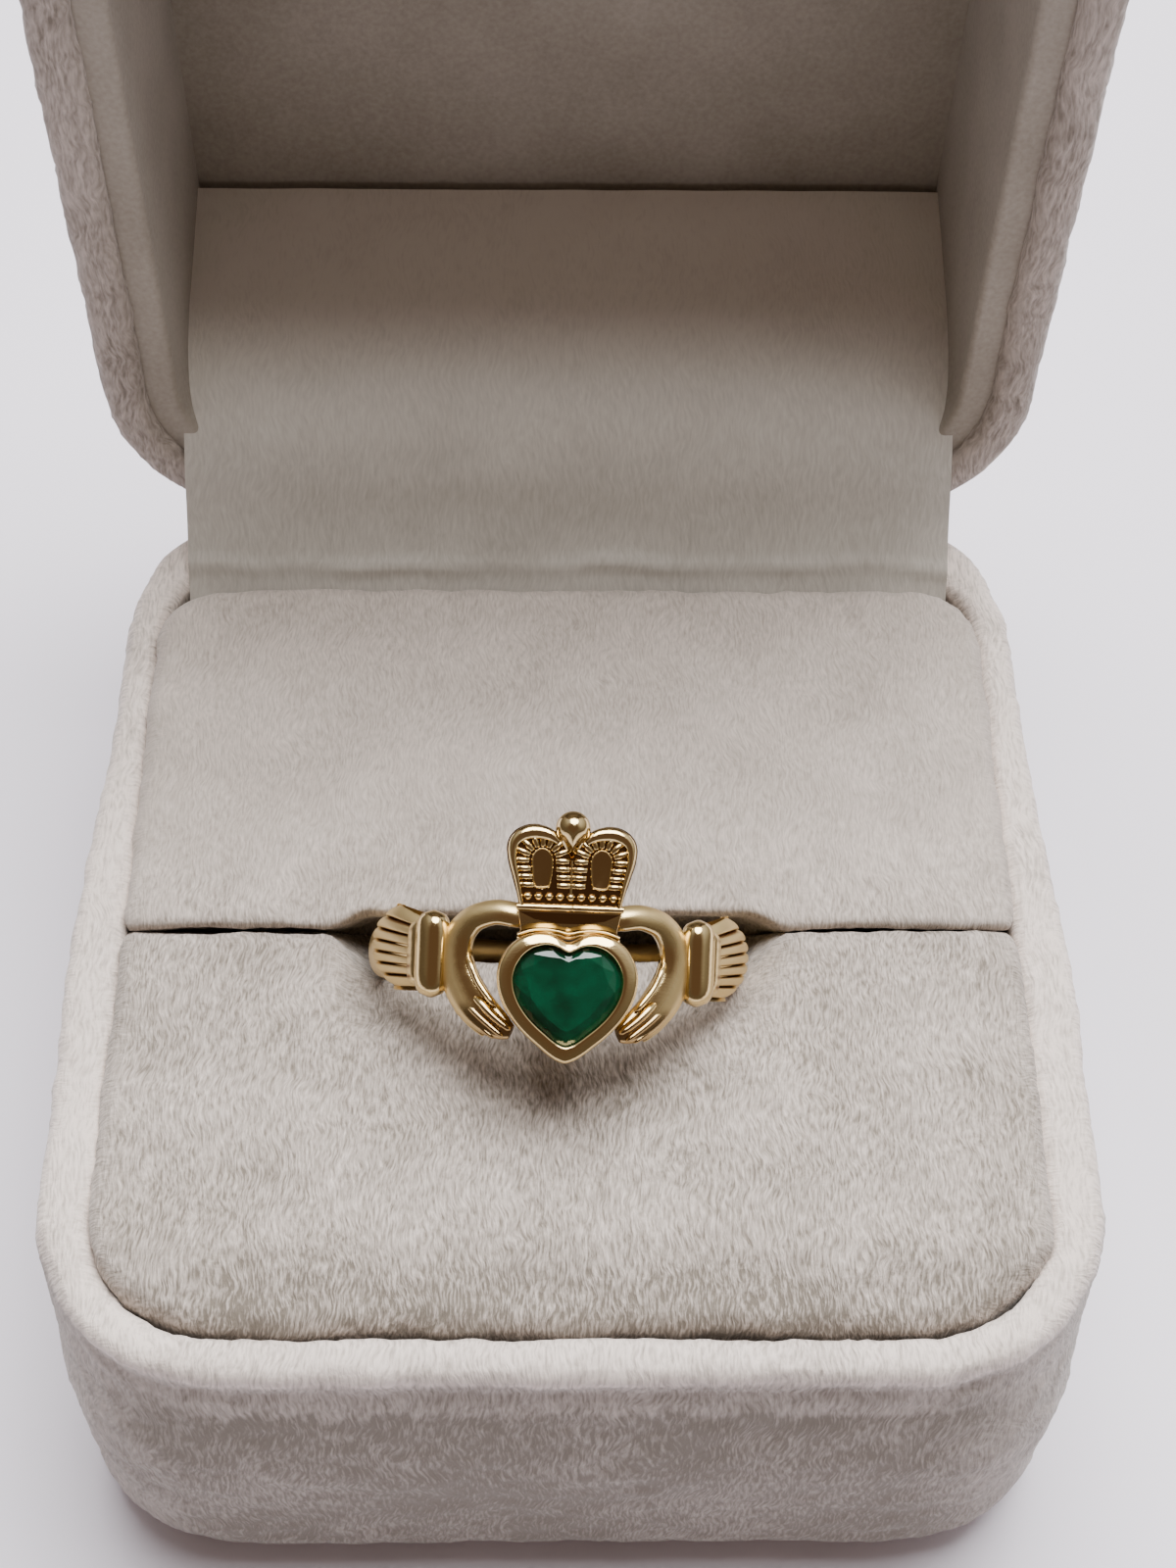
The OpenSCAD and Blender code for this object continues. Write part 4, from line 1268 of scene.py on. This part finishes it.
class RINGBOX_OT_collar(bpy.types.Operator):
    """Makes the collar between the heart and the crown"""
    bl_idname = "ringbox.collar"
    bl_label = "Collar"

    def execute(self, context):
        crown_top = FACE_Z + 0.2 + mm(context.scene.ring_box_ring, "crown_plate")
        # The block is wider and stands higher at its top than at its foot
        low, high, low_half, high_half, low_drop, high_rise = 1.2, 2.54, 2.36, 2.58, 0.35, 0.1
        block = add_shape("collar_block", bpy.ops.mesh.primitive_cube_add, size=1)

        def move(place, normal):
            y, half, face = (high, high_half, crown_top + high_rise) if place.y > 0 else \
                (low, low_half, crown_top - low_drop)
            return Vector((math.copysign(half, place.x), y, face if place.z > 0 else FACE_Z + 0.1))

        shaped(block, move)
        with editing(block):
            bpy.ops.mesh.bevel(offset=0.07, segments=3, affect="EDGES")
        smooth(block, 40)
        # The ridge under the crown: across, half its thickness. It is pinched in the middle
        ridge = [(-2.60, 0.10), (-2.52, 0.17), (-1.4, 0.19), (-0.05, 0.19), (0.10, 0.165), (0.25, 0.19), (1.4, 0.19),
                 (2.52, 0.17), (2.60, 0.10)]
        parts = [block, sweep("ridge", [(Vector((x, high - 0.06, crown_top + high_rise)), r, r, UP)
                                        for x, r in through(ridge, 4)], 16)]
        # Two thin edges one below the other that follow the heart: across, up
        edge = [(-2.50, 1.10), (-1.9, 1.32), (-1.2, 1.40), (-0.6, 1.34), (0.0, 1.22), (0.6, 1.34), (1.2, 1.40),
                (1.9, 1.32), (2.50, 1.10)]
        for drop, half in ((0.0, 0.10), (0.18, 0.11)):
            line = [(Vector((x, y - drop, crown_top - 0.36 - drop)), half, 0.2, UP) for x, y in through(edge, 6)]
            parts.append(sweep("edge", line, 12))
        obj = joined("ring_collar", parts)
        # Painted dark reflection on the block's face and the edges below the ridge
        finish_gold(obj, recess=lambda p: 0.35 * ease((2.40 - p.y) / 0.1))
        return {"FINISHED"}


# The crown is drawn at this width and height, and scaled to its settings
CROWN_DRAWN = (6.35, 4.6)
# Half of its outline from its foot to the orb, from the crown's foot line
CROWN_EDGE = [(2.46, -0.28), (2.55, 0.28), (2.86, 1.30), (3.18, 2.50), (3.18, 3.10), (2.94, 3.58), (2.46, 3.92),
              (1.87, 4.04), (1.35, 3.95), (0.82, 3.72)]
# Middle line of the rounded border inside it, with half its width
CROWN_BORDER = [(2.38, 0.10, 0.12), (2.62, 1.20, 0.16), (2.88, 2.30, 0.22), (2.87, 3.00, 0.28), (2.58, 3.40, 0.34),
                (2.10, 3.62, 0.38), (1.58, 3.63, 0.37), (1.10, 3.50, 0.32), (0.70, 3.20, 0.20)]
CROWN_PANEL = [(1.08, 0.98), (0.98, 1.60), (0.96, 2.20), (1.06, 2.60), (1.38, 2.84), (1.72, 2.76), (1.94, 2.40),
               (1.90, 1.75), (1.76, 0.98)]


class RINGBOX_OT_crown(bpy.types.Operator):
    """Makes the crown with its border, ridges, panels, beads and orb"""
    bl_idname = "ringbox.crown"
    bl_label = "Crown"

    def execute(self, context):
        ring = context.scene.ring_box_ring
        wide, tall = mm(ring, "crown_w") / CROWN_DRAWN[0], mm(ring, "crown_h") / CROWN_DRAWN[1]
        foot, plate = 2.51, mm(ring, "crown_plate")
        back = FACE_Z + 0.2
        floor = back + plate

        def at(x, y, z=0.0):
            return Vector((x * wide, foot + y * tall, floor + z))

        rim = [at(x, y).xy for x, y in CROWN_EDGE]
        rim += [(-x, y) for x, y in reversed(rim)]
        plate_obj = outline("plate", rim, 5)
        with editing(plate_obj):
            fill_and_raise(back, plate)
            face_outward()
        smooth(plate_obj, 40)

        half = [sweep("border", [(at(x, y, 0.02), w, 0.34, UP) for x, y, w in through(CROWN_BORDER, 4)], 16)]
        right = joined("half", half + self.ridges(at) + self.panel(at))
        spine = [(at(0.0, y, 0.02), 0.09, 0.18, UP) for y in (0.5, 1.1, 1.7, 2.3)]
        parts = [plate_obj, right, mirrored(right), sweep("spine", spine, 10), self.orb(at, mm(ring, "orb_r"))]
        obj = joined("ring_crown", parts + self.beads(at))

        def recess(p):
            """Painted dark reflection and shade on the floor between the raised parts."""
            return 0.8 * ease((p.z - floor + 0.05) / 0.04) * fade(p.z - floor - 0.02, 0.16)

        finish_gold(obj, recess)
        return {"FINISHED"}

    def orb(self, at, r):
        """The orb, drawn down to a point between the two halves with a crest along its middle."""
        centre = at(0, 4.74 - r, 0.05)
        drop = 1.75 * r
        obj = add_shape("orb", bpy.ops.mesh.primitive_uv_sphere_add, segments=48, ring_count=32, radius=r)

        def move(place, normal):
            t = max(-place.y / r, 0)
            narrow = (1 - t ** 1.6) / math.sqrt(max(1 - t * t, 1e-6)) if t < 1 else 0
            x = place.x * mix(1, narrow, ease(t * 1.5))
            crest = max(1 - abs(x) / (0.9 * r * max(1 - t, 0.02)), 0)
            z = place.z * mix(1, 0.5 * crest + 0.45, ease((t - 0.05) / 0.5)) if place.z > 0 else place.z
            y = place.y if place.y > 0 else -t * drop
            return centre + Vector((x, y, z * mix(1, 0.75, t)))

        shaped(obj, move)
        smooth(obj, 40)
        return obj

    def ridges(self, at):
        """Short cross bars that run up, over and down round a panel."""
        count, leg_low, leg_high, turn_r, centre_x = 15, 1.05, 2.30, 0.98, 1.45
        # One bar: place along it, half its thickness
        bar = [(-0.36, 0.10), (-0.30, 0.15), (0.0, 0.16), (0.30, 0.15), (0.36, 0.10)]
        turn, leg = math.pi * turn_r, leg_high - leg_low
        parts = []
        for i in range(count):
            way = i / (count - 1) * (2 * leg + turn)
            bend = min(max(way - leg, 0), turn) / turn
            drop = leg - way if way < leg else max(way - leg - turn, 0)
            angle = math.pi * (1 - bend)
            out = Vector((math.cos(angle), math.sin(angle), 0))
            lean = mix(0.08, 0.22, bend) * (leg_high - drop - 2.3)
            centre = at(centre_x + turn_r * out.x + lean, leg_high + turn_r * out.y - drop, 0.02)
            parts.append(sweep("ridge", [(centre + out * s, r, 1.3 * r, UP) for s, r in bar], 12, 0.75))
        return parts

    def panel(self, at):
        """The smooth panel inside the ridges, with its fine raised edge."""
        face = outline("panel", [at(x, y).xy for x, y in CROWN_PANEL], 4)
        sunk, height = 0.05, 0.14
        with editing(face):
            fill_and_raise(at(0, 0, -sunk).z, height + sunk)
            bpy.ops.mesh.inset(thickness=0.09)
            bpy.ops.transform.translate(value=(0, 0, -0.03))
            face_outward()
        smooth(face, 30)
        rim = [(at(x, y, height), 0.05, 0.08, UP) for x, y in through(CROWN_PANEL + CROWN_PANEL[:1], 5)]
        return [face, sweep("panel_edge", rim, 8)]

    def beads(self, at):
        count, span = 9, 4.2
        parts = []
        for i in range(count):
            bead = add_shape("bead", bpy.ops.mesh.primitive_uv_sphere_add, segments=16, ring_count=10, radius=0.235,
                             location=at(span * (i / (count - 1) - 0.5), 0.50, 0.02), scale=(1, 0.85, 0.9))
            bpy.ops.object.transform_apply()
            smooth(bead)
            parts.append(bead)
        return parts


class RINGBOX_OT_pin(bpy.types.Operator):
    """Gives the hinge pin its steel finish"""
    bl_idname = "ringbox.pin"
    bl_label = "Hinge pin"

    def execute(self, context):
        pin = frame["nodes"]["hinge_pin"]
        pin.data.materials.clear()
        pin.data.materials.append(steel())
        return {"FINISHED"}


# Stage

# Where the photograph was taken from, in millimetres, and how it was turned
CAMERA_PLACE = Vector((-1.35, -66.76, 131.97))
CAMERA_PITCH, CAMERA_YAW, CAMERA_ROLL = (math.radians(a) for a in (55.35, 1.8, -1.54))
FOCAL_PIXELS, LONG_SIDE_PIXELS, SENSOR = 2400, 1600, 36

# Places and sizes of the stage are in metres
FLOOR_SIZE = 3
KEY_PLACE, KEY_AIM, KEY_SIZE, KEY_WATTS = Vector((0.05, 0.13, 0.45)), Vector((0, 0, 0.02)), 0.38, 5.0
SKY_WAY, SKY_STRENGTH = (0.25, 0.45, 0.86), 1.22
SKY = [(0.0, (0.12, 0.10, 0.085)), (0.40, (0.22, 0.20, 0.185)), (0.70, (0.55, 0.54, 0.56)), (1.0, (1.0, 0.97, 1.0))]
VIEWER_WAY, VIEWER = (0.0, -0.53, 0.85), (0.12, 0.08, 0.06)


class RINGBOX_OT_stage(bpy.types.Operator):
    """Sets the floor, the soft lights and the camera"""
    bl_idname = "ringbox.stage"
    bl_label = "Stage"

    def execute(self, context):
        floor = add_shape("floor", bpy.ops.mesh.primitive_plane_add, size=FLOOR_SIZE)
        floor.data.materials.append(floor_paint())
        turn = (KEY_AIM - KEY_PLACE).to_track_quat("-Z", "Y").to_euler()
        key = add_shape("key", bpy.ops.object.light_add, type="AREA", location=KEY_PLACE, rotation=turn)
        key.data.shape, key.data.size, key.data.energy = "DISK", KEY_SIZE, KEY_WATTS
        self.sky(context.scene)
        self.camera(context.scene)
        return {"FINISHED"}

    def sky(self, scene):
        """A soft sky, lightest overhead and to the back right, with the dark shape of the viewer in it."""
        scene.world = bpy.data.worlds.new("soft_room")
        scene.world.use_nodes = True
        tree = scene.world.node_tree
        node = partial(add_node, tree)
        way = node("TexCoord").outputs["Generated"]
        height = node("VectorMath", {0: way, 1: SKY_WAY}, operation="DOT_PRODUCT")
        shade = node("ValToRGB", {"Fac": height.outputs["Value"]}, SKY)
        towards = node("VectorMath", {0: way, 1: VIEWER_WAY}, operation="DOT_PRODUCT")
        shadow = node("MapRange", {"Value": towards.outputs["Value"], "From Min": 0.62, "From Max": 0.88})
        both = node("Mix", {"Factor": shadow, "A": shade, "B": rgba(VIEWER)}, data_type="RGBA")
        feed(tree.nodes["Background"], {"Color": both, "Strength": SKY_STRENGTH})

    def camera(self, scene):
        (cy, sy), (cp, sp), (cr, sr) = ((math.cos(a), math.sin(a)) for a in (CAMERA_YAW, CAMERA_PITCH, CAMERA_ROLL))
        forward = Vector((sy * cp, cy * cp, -sp))
        right = Vector((cy, -sy, 0))
        down = forward.cross(right)
        right, down = right * cr + down * sr, down * cr - right * sr
        camera = add_shape("camera", bpy.ops.object.camera_add)
        turn = Matrix((right, -down, -forward)).transposed().to_4x4()
        camera.matrix_world = Matrix.Translation(CAMERA_PLACE * MM) @ turn
        camera.data.sensor_width = SENSOR
        camera.data.lens = FOCAL_PIXELS * SENSOR / LONG_SIDE_PIXELS
        camera.data.clip_start = 5 * MM
        scene.camera = camera


class RINGBOX_PT_panel(bpy.types.Panel):
    """Lists the pieces and their sizes"""
    bl_idname = "RINGBOX_PT_panel"
    bl_label = "Ring box"
    bl_space_type = "VIEW_3D"
    bl_region_type = "UI"
    bl_category = "Ring box"

    def draw(self, context):
        for operator in OPERATORS:
            self.layout.operator(operator.bl_idname)
        for name, group in SETTINGS.items():
            settings = getattr(context.scene, name)
            for setting in group.__annotations__:
                self.layout.prop(settings, setting)


SETTINGS = {
    "ring_box_sizes": BoxSettings,
    "ring_box_cushions": CushionSettings,
    "ring_box_ring": RingSettings,
    "ring_box_finish": FinishSettings,
}
OPERATORS = (RINGBOX_OT_base, RINGBOX_OT_lid, RINGBOX_OT_lining, RINGBOX_OT_cushions, RINGBOX_OT_flap,
             RINGBOX_OT_pin, RINGBOX_OT_shank, RINGBOX_OT_cuffs, RINGBOX_OT_hands, RINGBOX_OT_setting,
             RINGBOX_OT_collar, RINGBOX_OT_crown, RINGBOX_OT_stone, RINGBOX_OT_stage)
CLASSES = (*SETTINGS.values(), *OPERATORS, RINGBOX_PT_panel)


def register():
    for cls in CLASSES:
        bpy.utils.register_class(cls)
    for name, group in SETTINGS.items():
        setattr(bpy.types.Scene, name, PointerProperty(type=group))


def unregister():
    for name in SETTINGS:
        delattr(bpy.types.Scene, name)
    for cls in reversed(CLASSES):
        bpy.utils.unregister_class(cls)


def main():
    register()
    for operator in OPERATORS:
        getattr(bpy.ops.ringbox, operator.bl_idname.split(".")[1])()


if __name__ == "__main__":
    main()
